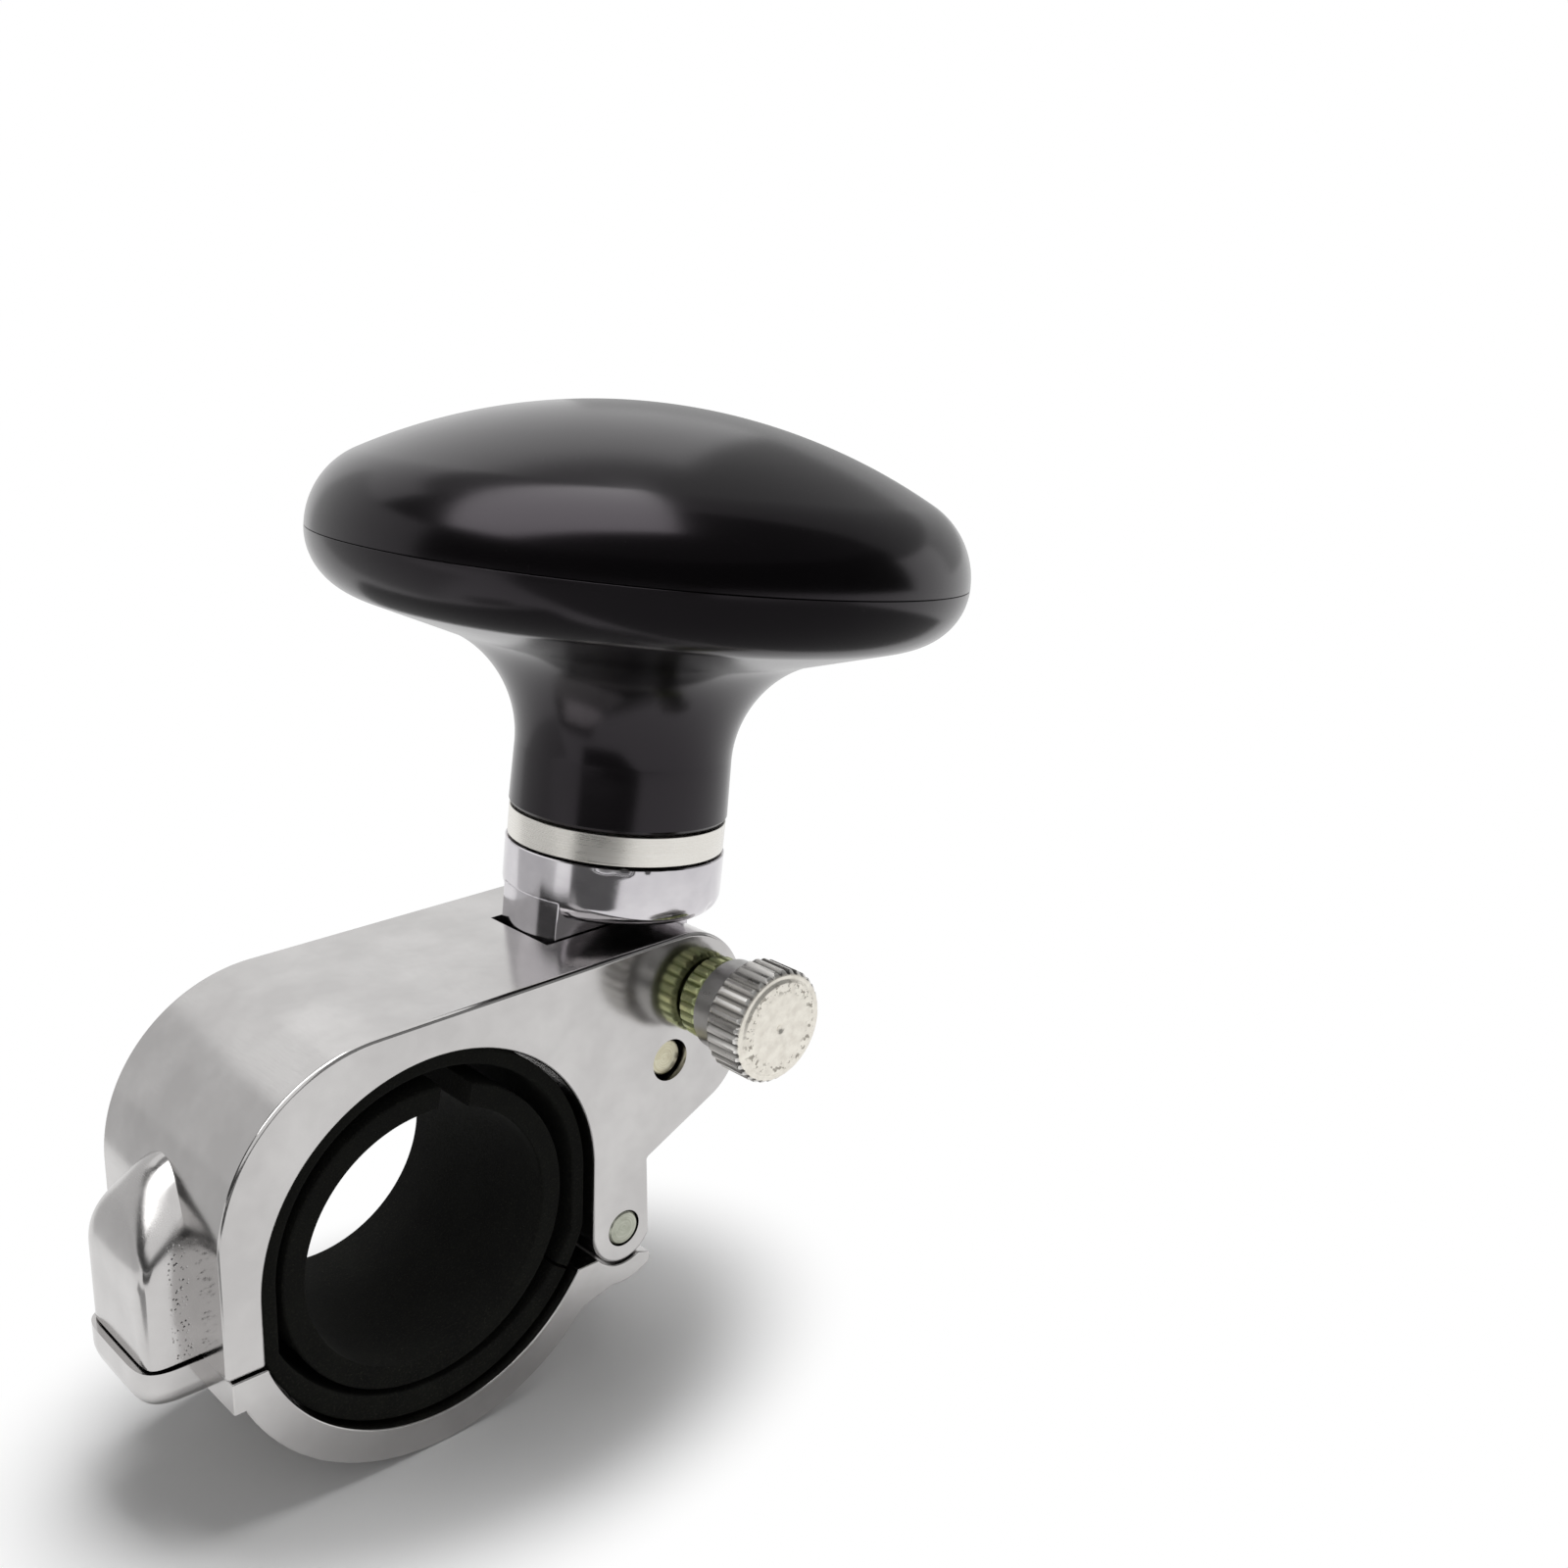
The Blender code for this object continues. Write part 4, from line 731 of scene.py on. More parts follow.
@dataclass(frozen=True)
class YellowZinc(Finish):
    """Yellow-green passivated zinc, uneven in hue, with painted shade that darkens its flutes."""

    crest: float = 5.1
    flute: float = 4.8

    def paint(self, sheet: Sheet) -> None:
        """Lays out the uneven hue and the painted shade in the flutes.

        Args:
            sheet: The material's sheet.
        """
        radius = sheet.round_axis()[1]
        cloud = sheet.noise(0.55, 3.0, 0.6)
        fine = sheet.noise(4.0, 3.0, 0.7)
        # Painted shade: the colour darkens towards the bottom of each flute.
        flutes = sheet.span(radius, self.flute, self.crest - 0.05, 0.65, 0.0)
        colour = sheet.mix(sheet.span(cloud, 0.35, 0.65), (184, 194, 146), (210, 212, 160))
        colour = sheet.mix(sheet.span(fine, 0.55, 0.75, 0.0, 0.5), colour, (120, 148, 110))
        colour = sheet.mix(flutes, colour, (112, 120, 82))
        rough = sheet.span(fine, 0.3, 0.7, 0.26, 0.42)
        sheet.metal(colour, rough, sheet.relief(fine, 0.008))


@dataclass(frozen=True)
class MattRubber(Finish):
    """Matt black rubber, with a fine grain and pale specks of dust."""

    dusty: float = 0.5

    def paint(self, sheet: Sheet) -> None:
        """Lays out the grain and the dust.

        Args:
            sheet: The material's sheet.
        """
        grain = sheet.noise(3.2, 4.0, 0.7)
        cloud = sheet.noise(0.25, 3.0, 0.6)
        specks = sheet.span(sheet.cells(1.9), 0.05, 0.13, 1.0, 0.0)
        dust = sheet.times(specks, sheet.span(sheet.noise(1.1, 1.0), 0.50, 0.60), self.dusty)
        colour = sheet.mix(sheet.span(cloud, 0.3, 0.7), (20, 20, 19), (33, 34, 30))
        colour = sheet.mix(sheet.span(grain, 0.50, 0.74, 0.0, 0.6), colour, (70, 70, 62))
        colour = sheet.mix(dust, colour, (112, 112, 96))
        rough = sheet.span(grain, 0.3, 0.7, 0.75, 0.92)
        normal = sheet.relief(grain, 0.03)
        sheet.set(Base_Color=colour, Roughness=rough, Specular_IOR_Level=0.15, Normal=normal)


@dataclass(frozen=True)
class BlackGloss(Finish):
    """Glossy black moulded plastic, very slightly wavy, with the finest scratches and dust."""

    tint: Tone = (255, 244, 255)

    def paint(self, sheet: Sheet) -> None:
        """Lays out the waves, the grain and the hairline scratches.

        Args:
            sheet: The material's sheet.
        """
        cloud = sheet.noise(0.045)
        grain = sheet.noise(2.2, 4.0, 0.75)
        hairs = sheet.noise(1.3, 4.0, 0.7, sheet.stretch(0.6, 3.2, 1.2))
        colour = sheet.mix(sheet.span(cloud, 0.35, 0.65), (7, 6, 7), (12, 10, 12))
        colour = sheet.mix(sheet.span(grain, 0.62, 0.82, 0.0, 0.25), colour, (52, 46, 52))
        scratches = sheet.times(sheet.span(hairs, 0.66, 0.74), 0.10)
        rough = sheet.plus(sheet.span(cloud, 0.3, 0.7, 0.17, 0.22), scratches)
        wave = sheet.relief(sheet.noise(0.10, 1.0, 0.4), 0.03)
        normal = sheet.relief(grain, 0.0022, Normal=wave)
        sheet.set(Base_Color=colour, Roughness=rough, IOR=1.43, Specular_Tint=tone(self.tint), Normal=normal)


# Presenting pieces

BODY_OF = {node: body for body, nodes in frame["record"]["behaviour"]["bodies"].items() for node in nodes}
MADE: dict[str, bpy.types.Material] = {}


def present(piece: Piece, node: str, finish: Finish) -> Piece:
    """Brings a finished piece into the frame in the place of its CAD node.

    Args:
        piece: The piece, in millimetres.
        node: The CAD node that it stands for.
        finish: Its finish.

    Returns:
        The piece.
    """
    if finish.name not in MADE:
        MADE[finish.name] = finish.material()
    piece.name = f"{node}.fine"
    piece.data.transform(Matrix.Scale(MM, 4))
    piece.data.materials.append(MADE[finish.name])
    piece.data.shade_smooth()
    piece.data.set_sharp_from_angle(angle=SHARP_EDGE)
    steady = piece.modifiers.new("Steady shading", "WEIGHTED_NORMAL")
    steady.keep_sharp = True
    steady.weight = 80
    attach(piece, BODY_OF[node])
    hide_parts(node)
    LOG.info("%s stands for %s: %d faces", piece.name, node, len(piece.data.polygons))
    return piece


# The clamp


@dataclass
class Clamp:
    """The rim clamp: saddle, hinged cap, hinge pin, clamp screw and rubber liners."""

    width: float = 27.1
    seat_radius: float = 21.3
    side_wall: float = 4.4
    parting: float = -7.2
    shoulder_radius: float = 19.0
    top_slope: float = radians(2.0)
    edge: float = 0.5
    lug_corner: Flat = (34.2, 17.0)
    lug_corner_radius: float = 10.0
    lug_lower_radius: float = 8.0
    undercut: float = radians(26.4)
    notch: Flat = (29.5, -0.9)
    hinge_z: float = -9.2
    ear_radius: float = 4.6
    ear_flank: float = radians(-25)
    hinge_pin_radius: float = 2.15
    knuckle_radius: float = 4.3
    knuckle_width: float = 10.4
    cap_seat_radius: float = 22.3
    cap_wall: float = 3.9
    cap_side_inset: float = 0.5
    cap_foot: float = 4.1
    leaf_top_drop: float = 3.0
    leaf_thickness: float = 2.65
    leaf_tip_share: float = 0.45
    leaf_tip_turn: float = 0.4
    leaf_end: float = radians(-60)
    leaf_under: float = radians(12)
    cap_outside_end: float = radians(-41)
    screw_x: float = -26.2
    screw_radius: float = 2.1
    screw_engagement: float = 8.7
    screw_head: Flat = (3.6, 3.0)
    screw_seat: float = 2.3
    screw_socket: Flat = (3.0, 1.8)
    screw_pitch: float = 0.7
    thread_from: float = 0.4
    plain_neck: float = 0.5
    thread_depth: float = 0.35
    boss_outreach: float = 5.3
    boss_half_width: float = 7.2
    boss_shoulder: float = 1.5
    boss_top: float = 12.8
    boss_crown: float = 0.12
    lug_outreach: float = 6.1
    lug_half_width: float = 7.7
    lug_thickness: float = 4.4
    lug_inset_share: float = 0.6
    squareness: float = 5.5
    boss_squareness: Flat = (10.0, 2.1)
    boss_fading: int = 9
    liner_thickness: float = 1.8
    liner_floor: float = 3.2
    liner_length: float = 26.5
    liner_setback: float = 1.3
    liner_slit: float = 0.4
    liner_slit_angle: float = radians(-34)
    liner_side_ease: float = 0.32
    liner_edge: float = 0.35
    ring_thickness: float = 2.7
    ring_bore: float = 15.2
    ring_edge: float = 0.4
    ring_rest: float = radians(225)
    ring_split: float = 4.0
    ring_split_angle: float = radians(80)

    @property
    def front(self) -> float:
        """Where the front face lies along Y."""
        return -self.width / 2

    @property
    def hinge_x(self) -> float:
        """The hinge pin's place along X."""
        return self.seat_radius + self.ear_radius

    @property
    def side_x(self) -> float:
        """The clamp's upright side."""
        return -self.seat_radius - self.side_wall

    @property
    def cap_top(self) -> float:
        """The cap's parting face."""
        return self.parting - GAP

    @property
    def cap_seat_z(self) -> float:
        """The height of the cap seat's centre."""
        return self.parting + sqrt(self.cap_seat_radius**2 - self.seat_radius**2)

    @property
    def hinge(self) -> Matrix:
        """The hinge pin's frame."""
        return facing_front(self.hinge_x, 0, self.hinge_z)

    @property
    def at_screw(self) -> Matrix:
        """The clamp screw's frame."""
        return Matrix.Translation((self.screw_x, 0, 0))

    def saddle_outline(self) -> list[Flat]:
        """The saddle seen from the front.

        Returns:
            Shoulder, sloping top, lug, undercut, hinge ear and seat, in order.
        """
        corner, radius = self.lug_corner, self.lug_corner_radius
        shoulder_x = self.side_x + self.shoulder_radius
        normal = (-sin(self.top_slope), cos(self.top_slope))
        top = normal[0] * corner[0] + normal[1] * corner[1] + radius
        shoulder_z = (top - self.shoulder_radius - normal[0] * shoulder_x) / normal[1]
        upright = pi / 2 + self.top_slope
        lower_x = corner[0] + radius - self.lug_lower_radius
        across = self.lug_lower_radius + sin(self.undercut) * (lower_x - self.notch[0])
        lower = (lower_x, self.notch[1] + across / cos(self.undercut))
        return [
            (self.side_x, self.parting),
            *arc((shoulder_x, shoulder_z), self.shoulder_radius, pi, upright, 48),
            *arc(corner, radius, upright, 0, 36),
            *arc(lower, self.lug_lower_radius, 0, self.undercut - pi / 2, 28),
            self.notch,
            *arc((self.hinge_x, self.hinge_z), self.ear_radius, self.ear_flank, -pi, 40),
            *arc(CENTRE, self.seat_radius, 0, pi, 96),
            (-self.seat_radius, self.parting),
        ]

    def half_plan(self, outreach: float, half_width: float, height: float, squareness: float) -> list[Spot]:
        """One level of a boss on the clamp's side: a squarish half oval that grows from the wall.

        Args:
            outreach: How far it stands out from the side.
            half_width: Half its width along Y.
            height: The level's height.
            squareness: The oval's power: 2 is round, and more is squarer.

        Returns:
            The level's points.
        """
        root = self.side_x + self.side_wall / 2
        reach = outreach + self.side_wall / 2
        steps, crowding = 48, 0.8
        ring = []
        for i in range(steps + 1):
            share = 2 * i / steps - 1
            angle = pi + pi / 2 * copysign(abs(share) ** crowding, -share)
            x = root - reach * abs(cos(angle)) ** (2 / squareness)
            y = half_width * copysign(abs(sin(angle)) ** (2 / squareness), sin(angle))
            ring.append((x, y, height))
        return ring

    def boss_rings(self) -> list[list[Spot]]:
        """The levels of the bullet-nosed screw boss from the parting line up.

        Returns:
            Rings of points.
        """
        foot, top = self.boss_squareness
        half = self.side_wall / 2
        rings = [self.half_plan(self.boss_outreach, self.boss_half_width, self.parting, foot)]
        steps = 28
        for i in range(steps + 1):
            angle = pi / 2 * i / steps
            share = max(cos(angle), self.boss_crown)
            outreach = -half + (self.boss_outreach + half) * share
            height = self.boss_shoulder + (self.boss_top - self.boss_shoulder) * sin(angle)
            squareness = top + (foot - top) * share**self.boss_fading
            rings.append(self.half_plan(outreach, self.boss_half_width * share, height, squareness))
        return rings

    def screw_hole_rings(self) -> list[list[Spot]]:
        """The screw's hole in the boss, drawn out where its tip swings out with the cap.

        Returns:
            Rings of points.
        """
        tip = self.parting + self.screw_engagement
        outer = self.hinge_x - self.screw_x + self.screw_radius
        tip_reach = hypot(outer, tip - self.hinge_z)
        radius = self.screw_radius + GAP
        rings = []
        steps = 12
        for i in range(steps + 1):
            height = self.parting - GAP + (self.screw_engagement + 2 * GAP) * i / steps
            swing = max(sqrt(tip_reach**2 - (height - self.hinge_z) ** 2) - outer, 0)
            reaches = [(radius + swing if x < 0 else radius, x, y) for x, y in polygon(1, 48)]
            rings.append([(self.screw_x + x * reach, y * radius, height) for reach, x, y in reaches])
        return rings

    def saddle(self, arm: "FoldingArm", lock: "LockPlunger") -> Piece:
        """Builds the saddle: the polished upper half with its lug, ears and screw boss.

        Args:
            arm: The arm, for which the lug has a slot and a pin hole.
            lock: The lock plunger, for which the lug has a bushing hole.

        Returns:
            The piece.
        """
        piece = plate("saddle", self.saddle_outline(), self.front, -self.front)
        round_edges(piece, self.edge, 4)
        combine(piece, loft("screw_boss", self.boss_rings()), Joining.ADD)
        half = arm.tongue_width / 2 + GAP
        combine(piece, plate("arm_slot", arm.slot_outline(self), -half, half), Joining.CUT)
        half = self.knuckle_width / 2 + GAP
        drilled(piece, pin_profile(self.ear_radius + 3 * GAP, -half, half), self.hinge, 96)
        through = self.width
        drilled(piece, pin_profile(self.hinge_pin_radius + PIN_GAP, -through, through), self.hinge)
        drilled(piece, pin_profile(arm.pin_radius + arm.pin_hole_gap, -through, through), arm.at_pivot)
        drilled(piece, pin_profile(lock.barrel_radius + GAP, -through / 2, through / 2), lock.axis)
        combine(piece, loft("screw_hole", self.screw_hole_rings()), Joining.CUT)
        return piece

    def cap_outline(self) -> list[Flat]:
        """The cap seen from the front.

        Returns:
            Foot, round outside, hinge leaf and seat, in order.
        """
        outer = self.cap_seat_radius + self.cap_wall
        centre = (0.0, self.cap_seat_z)
        foot_z = self.parting - self.cap_foot
        foot_angle = pi + asin((self.cap_seat_z - foot_z) / outer)
        inner_leaf = self.ear_radius + GAP
        outer_leaf = inner_leaf + self.leaf_thickness
        tip_radius = self.leaf_thickness * self.leaf_tip_share
        tip_start = self.leaf_end - self.leaf_tip_turn
        pin = (self.hinge_x, self.hinge_z)
        below = -pi / 2
        side_x = self.side_x + self.cap_side_inset
        middle = outer_leaf - tip_radius
        tip = (pin[0] + middle * cos(self.leaf_end), pin[1] + middle * sin(self.leaf_end))
        left_end = pi + asin(self.leaf_top_drop / inner_leaf)
        leaf_top = self.hinge_z - self.leaf_top_drop
        seat_start = asin((leaf_top - self.cap_seat_z) / self.cap_seat_radius)
        seat_end = -pi - asin((self.cap_top - self.cap_seat_z) / self.cap_seat_radius)
        return [
            (side_x, self.cap_top),
            (side_x, foot_z),
            *arc(centre, outer, foot_angle, TURN + self.cap_outside_end, 110),
            *arc(pin, outer_leaf, below - self.leaf_under, below + self.leaf_under, 8),
            *arc(tip, tip_radius, tip_start, self.leaf_end + pi / 2, 14),
            *arc(pin, inner_leaf, self.leaf_end, left_end - TURN, 36),
            *arc(centre, self.cap_seat_radius, seat_start, seat_end, 96),
        ]

    def lug_rings(self) -> list[list[Spot]]:
        """The levels of the cap's screw lug from its rounded bottom up.

        Returns:
            Rings of points.
        """
        bottom = self.cap_top - self.lug_thickness
        rounding = self.lug_thickness / 2
        rings = []
        steps = 12
        for i in range(steps + 1):
            angle = pi / 2 * i / steps
            inset = rounding * (1 - sin(angle)) * self.lug_inset_share
            height = bottom + rounding * (1 - cos(angle))
            reach, half = self.lug_outreach - inset, self.lug_half_width - inset
            rings.append(self.half_plan(reach, half, height, self.squareness))
        rings.append(self.half_plan(self.lug_outreach, self.lug_half_width, self.cap_top, self.squareness))
        return rings

    def cap(self) -> Piece:
        """Builds the cap: the polished lower half with its leaf, knuckle and screw lug.

        Returns:
            The piece.
        """
        piece = plate("clamp_cap", self.cap_outline(), self.front, -self.front)
        round_edges(piece, self.edge, 4)
        combine(piece, loft("screw_lug", self.lug_rings()), Joining.ADD)
        web = -self.ear_radius - GAP - self.leaf_thickness / 2
        radius = self.knuckle_radius
        knuckle = [(radius, web), *arc(CENTRE, radius, 0, pi, 40), (-radius, web)]
        half = self.knuckle_width / 2
        hinge = Matrix.Translation((self.hinge_x, 0, self.hinge_z))
        combine(piece, plate("knuckle", knuckle, -half, half, hinge), Joining.ADD)
        drilled(piece, pin_profile(self.hinge_pin_radius + PIN_GAP, -self.width, self.width), self.hinge)
        top = self.cap_top + GAP
        drilled(piece, pin_profile(self.screw_radius + GAP, top - self.width / 2, top), self.at_screw)
        seat = self.cap_top - self.screw_seat
        drilled(piece, pin_profile(self.screw_head[0] + GAP, seat - self.width, seat), self.at_screw)
        return piece

    def hinge_pin(self) -> Piece:
        """Builds the plain hinge pin, flush with both faces."""
        half = self.width / 2
        return revolve("hinge_pin", pin_profile(self.hinge_pin_radius, -half, half, PIN_GAP), 96, self.hinge)

    def clamp_screw(self) -> Piece:
        """Builds the socket-head screw with its thread.

        Returns:
            The piece.
        """
        radius = self.screw_radius
        head_radius, head_height = self.screw_head
        top = self.cap_top - self.screw_seat - GAP
        bottom = top - head_height
        tip = self.parting + self.screw_engagement
        chamfer = radius / 5
        profile = [(0.0, tip), (radius - chamfer, tip)]
        profile += filled([(radius, tip - chamfer), (radius, top + self.plain_neck)], self.screw_pitch / 8)
        profile += eased([(radius, top), (head_radius, top), (head_radius, bottom), (0, bottom)], chamfer)
        start, end = top + self.thread_from, tip - chamfer * THREAD_END
        thread = threaded(self.screw_pitch, self.thread_depth, start, end)
        screw = revolve("clamp_screw", profile, 64, self.at_screw, shaping=thread)
        flats, depth = self.screw_socket
        corners = polygon(flats / 2 / cos(pi / 6), 6)
        rings = [[(x, y, z) for x, y in corners] for z in (bottom - 1, bottom + depth)]
        combine(screw, loft("socket", rings, self.at_screw), Joining.CUT)
        return screw

    def seat_outline(self, side_inset: float, floor_inset: float) -> list[Flat]:
        """The closed clamp's seat moved inwards, eased away from the right wall.

        Args:
            side_inset: How far in the upper half lies.
            floor_inset: How far up the lowest point lies.

        Returns:
            The outline's points.
        """
        upper = self.seat_radius - side_inset
        bottom = self.cap_seat_z - self.cap_seat_radius + floor_inset
        drop = self.parting - bottom
        lower = (upper**2 + drop**2) / (2 * drop)
        centre = (0.0, bottom + lower)
        dip = asin((centre[1] - self.parting) / lower)
        points = arc(CENTRE, upper, 0, pi, 110) + arc(centre, lower, pi + dip, TURN - dip, 110)
        narrower = 1 - self.liner_side_ease / self.seat_radius
        return [(x * narrower if x > 0 else x, z) for x, z in points]

    def slit(self, piece: Piece, thickness: float, angle: float) -> None:
        """Cuts a rubber ring open from the seat's axis outwards.

        Args:
            piece: The ring.
            thickness: The slit's width.
            angle: Where it lies.
        """
        half, reach = thickness / 2, 2 * self.seat_radius
        blade = [(0, -half), (reach, -half), (reach, half), (0, half)]
        turn = Matrix.Rotation(-angle, 4, "Y")
        combine(piece, plate("blade", blade, -self.width, self.width, turn), Joining.CUT)

    def rubber_liner(self) -> Piece:
        """Builds the slit liner that lines the whole seat.

        Returns:
            The piece.
        """
        start = self.front + self.liner_setback
        outer = self.seat_outline(GAP, GAP)
        inner = self.seat_outline(GAP + self.liner_thickness, GAP + self.liner_floor)
        piece = tube("rubber_liner", outer, inner, start, start + self.liner_length, self.liner_edge)
        self.slit(piece, self.liner_slit, self.liner_slit_angle)
        return piece

    def adapter_ring(self) -> Piece:
        """Builds the split ring inside the liner, for a thinner rim.

        Returns:
            The piece.
        """
        outer = self.ring_bore + self.ring_thickness
        sink = self.seat_radius - self.liner_thickness - 2 * GAP - outer
        half = self.liner_length / 2
        middle = self.front + self.liner_setback + half
        place = facing_front(sink * cos(self.ring_rest), middle, sink * sin(self.ring_rest))
        section = hollow(self.ring_bore, outer, -half, half, self.ring_edge)
        piece = revolve("adapter_ring", section, 160, place, closed=True)
        self.slit(piece, self.ring_split, self.ring_split_angle)
        return piece

    def build(self, arm: "FoldingArm", lock: "LockPlunger") -> None:
        """Builds and dresses the clamp's pieces.

        Args:
            arm: The arm that the clamp carries.
            lock: The arm's lock plunger.
        """
        alloy = PolishedAlloy("polished_alloy_clamp", Slot.POLISHED, pitted=True)
        present(self.saddle(arm, lock), "saddle", alloy)
        present(self.cap(), "clamp_cap", alloy)
        present(self.hinge_pin(), "hinge_pin", TurnedSteel("turned_steel_hinge_pin", Slot.STEEL, self.hinge))
        steel = TurnedSteel("turned_steel_clamp_screw", Slot.STEEL, self.at_screw)
        present(self.clamp_screw(), "clamp_screw", steel)
        rubber = MattRubber("matt_rubber_liner", Slot.RUBBER, dusty=0.35)
        present(self.rubber_liner(), "rubber_liner", rubber)
        rubber = MattRubber("matt_rubber_ring", Slot.RUBBER, dusty=0.6)
        present(self.adapter_ring(), "adapter_ring", rubber)


# The arm


@dataclass
class FoldingArm:
    """The arm: a polished round collar on a flat tongue, and the pin that it folds on."""

    pivot: Flat = (32.5, 11.3)
    lean: float = radians(4.9)
    fold_range: float = radians(85)
    tongue_width: float = 10.5
    tongue_edge: float = 0.2
    end_radius: float = 13.4
    heel_height: float = 3.0
    foot_radius: float = 8.5
    collar_bottom: float = 16.7
    collar_height: float = 7.2
    collar_radius: float = 13.3
    collar_round: float = 2.2
    collar_rim: float = 0.12
    collar_level: float = 0.3
    burrs: tuple[Spot, ...] = (
        (-2.35, 0.10, 0.16),
        (-2.18, 0.06, 0.22),
        (-1.98, 0.05, 0.12),
        (-1.78, 0.04, 0.10),
    )
    burr_reach: float = 0.45
    dent: Flat = (-1.13, 1.35)
    dent_size: Spot = (0.95, 0.55, 0.30)
    pin_radius: float = 2.25
    pin_hole_gap: float = 0.4
    groove_ease: float = 0.03
    pin_recess: float = 0.9
    pin_head: Flat = (5.75, 1.6)
    pin_edge: float = 0.3
    spindle_radius: float = 3.0
    spindle_seat: float = 10.4

    @property
    def collar_top(self) -> float:
        """The height of the collar's top face."""
        return self.collar_bottom + self.collar_height

    @property
    def axis(self) -> Matrix:
        """The arm's frame, whose Z is the knob's axis."""
        return Matrix.Translation((self.pivot[0], 0, self.pivot[1])) @ Matrix.Rotation(self.lean, 4, "Y")

    @property
    def at_pivot(self) -> Matrix:
        """The pivot pin's frame."""
        return facing_front(self.pivot[0], 0, self.pivot[1])

    def to_clamp(self, sideways: float, along: float) -> Flat:
        """Turns a place in the arm's frame into the clamp's X and Z."""
        spot = self.axis @ Vector((sideways, 0, along))
        return (spot.x, spot.z)

    def round_foot_start(self, heel: Flat, radius: float) -> float:
        """The angle at which the tongue's underside meets its round foot."""
        return atan2(heel[1], heel[0]) % TURN + acos(radius / hypot(*heel))

    def slot_outline(self, clamp: Clamp) -> list[Flat]:
        """The slot in the lug: the tongue with its clearance, open above and to the right.

        Args:
            clamp: The clamp, for the lug's size.

        Returns:
            The outline in X and Z.
        """
        heel = (-self.end_radius - GAP, self.heel_height - GAP)
        radius = self.foot_radius + GAP
        beyond = 2 * self.collar_top
        start = self.round_foot_start(heel, radius)
        foot = arc(CENTRE, radius, start, 3 * pi / 2 + self.lean, 30)
        right = clamp.lug_corner[0] + 2 * clamp.lug_corner_radius
        return [
            *(self.to_clamp(x, z) for x, z in [(heel[0], beyond), heel, *foot]),
            (right, self.pivot[1] - radius),
            (right, self.pivot[1] + beyond),
        ]

    def tongue_outline(self) -> list[Flat]:
        """The tongue seen from the front, before its end is bowed: a heel and a round foot.

        Returns:
            The outline in the arm's frame.
        """
        heel = (-self.end_radius - GAP, self.heel_height)
        top = self.collar_bottom + self.collar_round
        start = self.round_foot_start(heel, self.foot_radius)
        foot = arc(CENTRE, self.foot_radius, start, TURN, 48)
        return [(heel[0], top), heel, *foot, (self.foot_radius, top)]

    def lock_groove(self, lock: "LockPlunger") -> Piece:
        """The solid of the ramp that lifts the plunger as the arm folds.

        Args:
            lock: The lock plunger, which runs in the groove.

        Returns:
            The solid.
        """
        reach, start = lock.from_pivot(self)
        half = lock.radius + GAP
        near, far = reach - half, reach + half
        lead = asin(half / reach)
        face = -self.tongue_width / 2
        mouth = face - 4 * GAP
        rings = []
        steps = 48
        for i in range(steps + 1):
            turn = (self.fold_range + lead) * i / steps
            lift = lock.travel * max(turn - lead, 0) / self.fold_range
            floor = face + lock.engagement + GAP - lift
            angle = start + turn
            section = ((near, floor), (far, floor), (far, mouth), (near, mouth))
            rings.append([(r * cos(angle), depth, r * sin(angle)) for r, depth in section])
        return loft("lock_groove", rings, self.axis)

    def worn_collar(self, angle: float, radius: float, height: float) -> float:
        """The collar's radius with its burred upper edge and its one dent.

        Args:
            angle: The angle about the arm's axis.
            radius: The radius when new.
            height: The height in the arm's frame.

        Returns:
            The worn radius.
        """
        if radius < self.collar_radius - self.collar_round:
            return radius
        burr = 0.0
        for centre, width, depth in self.burrs:
            burr += depth * exp(-(((angle - centre % TURN) / width) ** 2))
        burr *= exp(-(((self.collar_top - height) / self.burr_reach) ** 2))
        centre, rise = self.dent
        width, tall, depth = self.dent_size
        across = (angle - centre % TURN) * self.collar_radius / width
        off_dent = hypot(across, (height - self.collar_bottom - rise) / tall)
        return radius - burr - depth * exp(-(off_dent**2))

    def arm(self, lock: "LockPlunger") -> Piece:
        """Builds the polished arm.

        Args:
            lock: The lock plunger, whose hole and groove the tongue has.

        Returns:
            The piece.
        """
        top, radius, rim = self.collar_top, self.collar_radius, self.collar_rim
        rounding = (radius - self.collar_round, self.collar_bottom + self.collar_round)
        profile = [(0.0, top), (radius - rim, top)]
        profile += filled([(radius, top - rim), (radius, rounding[1])], self.collar_level)
        profile += arc(rounding, self.collar_round, 0, -pi / 2, 14)[1:]
        profile.append((0.0, self.collar_bottom))
        piece = revolve("pivot_arm", profile, 256, self.axis, shaping=self.worn_collar)
        half = self.tongue_width / 2
        tongue = plate("tongue", self.tongue_outline(), -half, half, self.axis)
        foot = -self.collar_bottom
        bow = [(0.0, top), (self.end_radius, top), (self.end_radius, foot), (0.0, foot)]
        combine(tongue, revolve("bowed_end", bow, 256, self.axis), Joining.KEEP)
        round_edges(tongue, self.tongue_edge, 3)
        combine(piece, tongue, Joining.ADD)
        hole = pin_profile(self.pin_radius + PIN_GAP, -self.tongue_width, self.tongue_width)
        drilled(piece, hole, self.axis @ facing_front(0, 0, 0))
        hole = pin_profile(self.spindle_radius + GAP, top - self.spindle_seat - GAP, top + GAP)
        drilled(piece, hole, self.axis)
        combine(piece, self.lock_groove(lock), Joining.CUT)
        reach, angle = lock.from_pivot(self)
        wider = lock.radius + GAP + self.groove_ease
        hole = pin_profile(wider, half - lock.engagement - 2 * GAP, half + 5 * GAP)
        drilled(piece, hole, self.axis @ facing_front(reach * cos(angle), 0, reach * sin(angle)))
        return piece

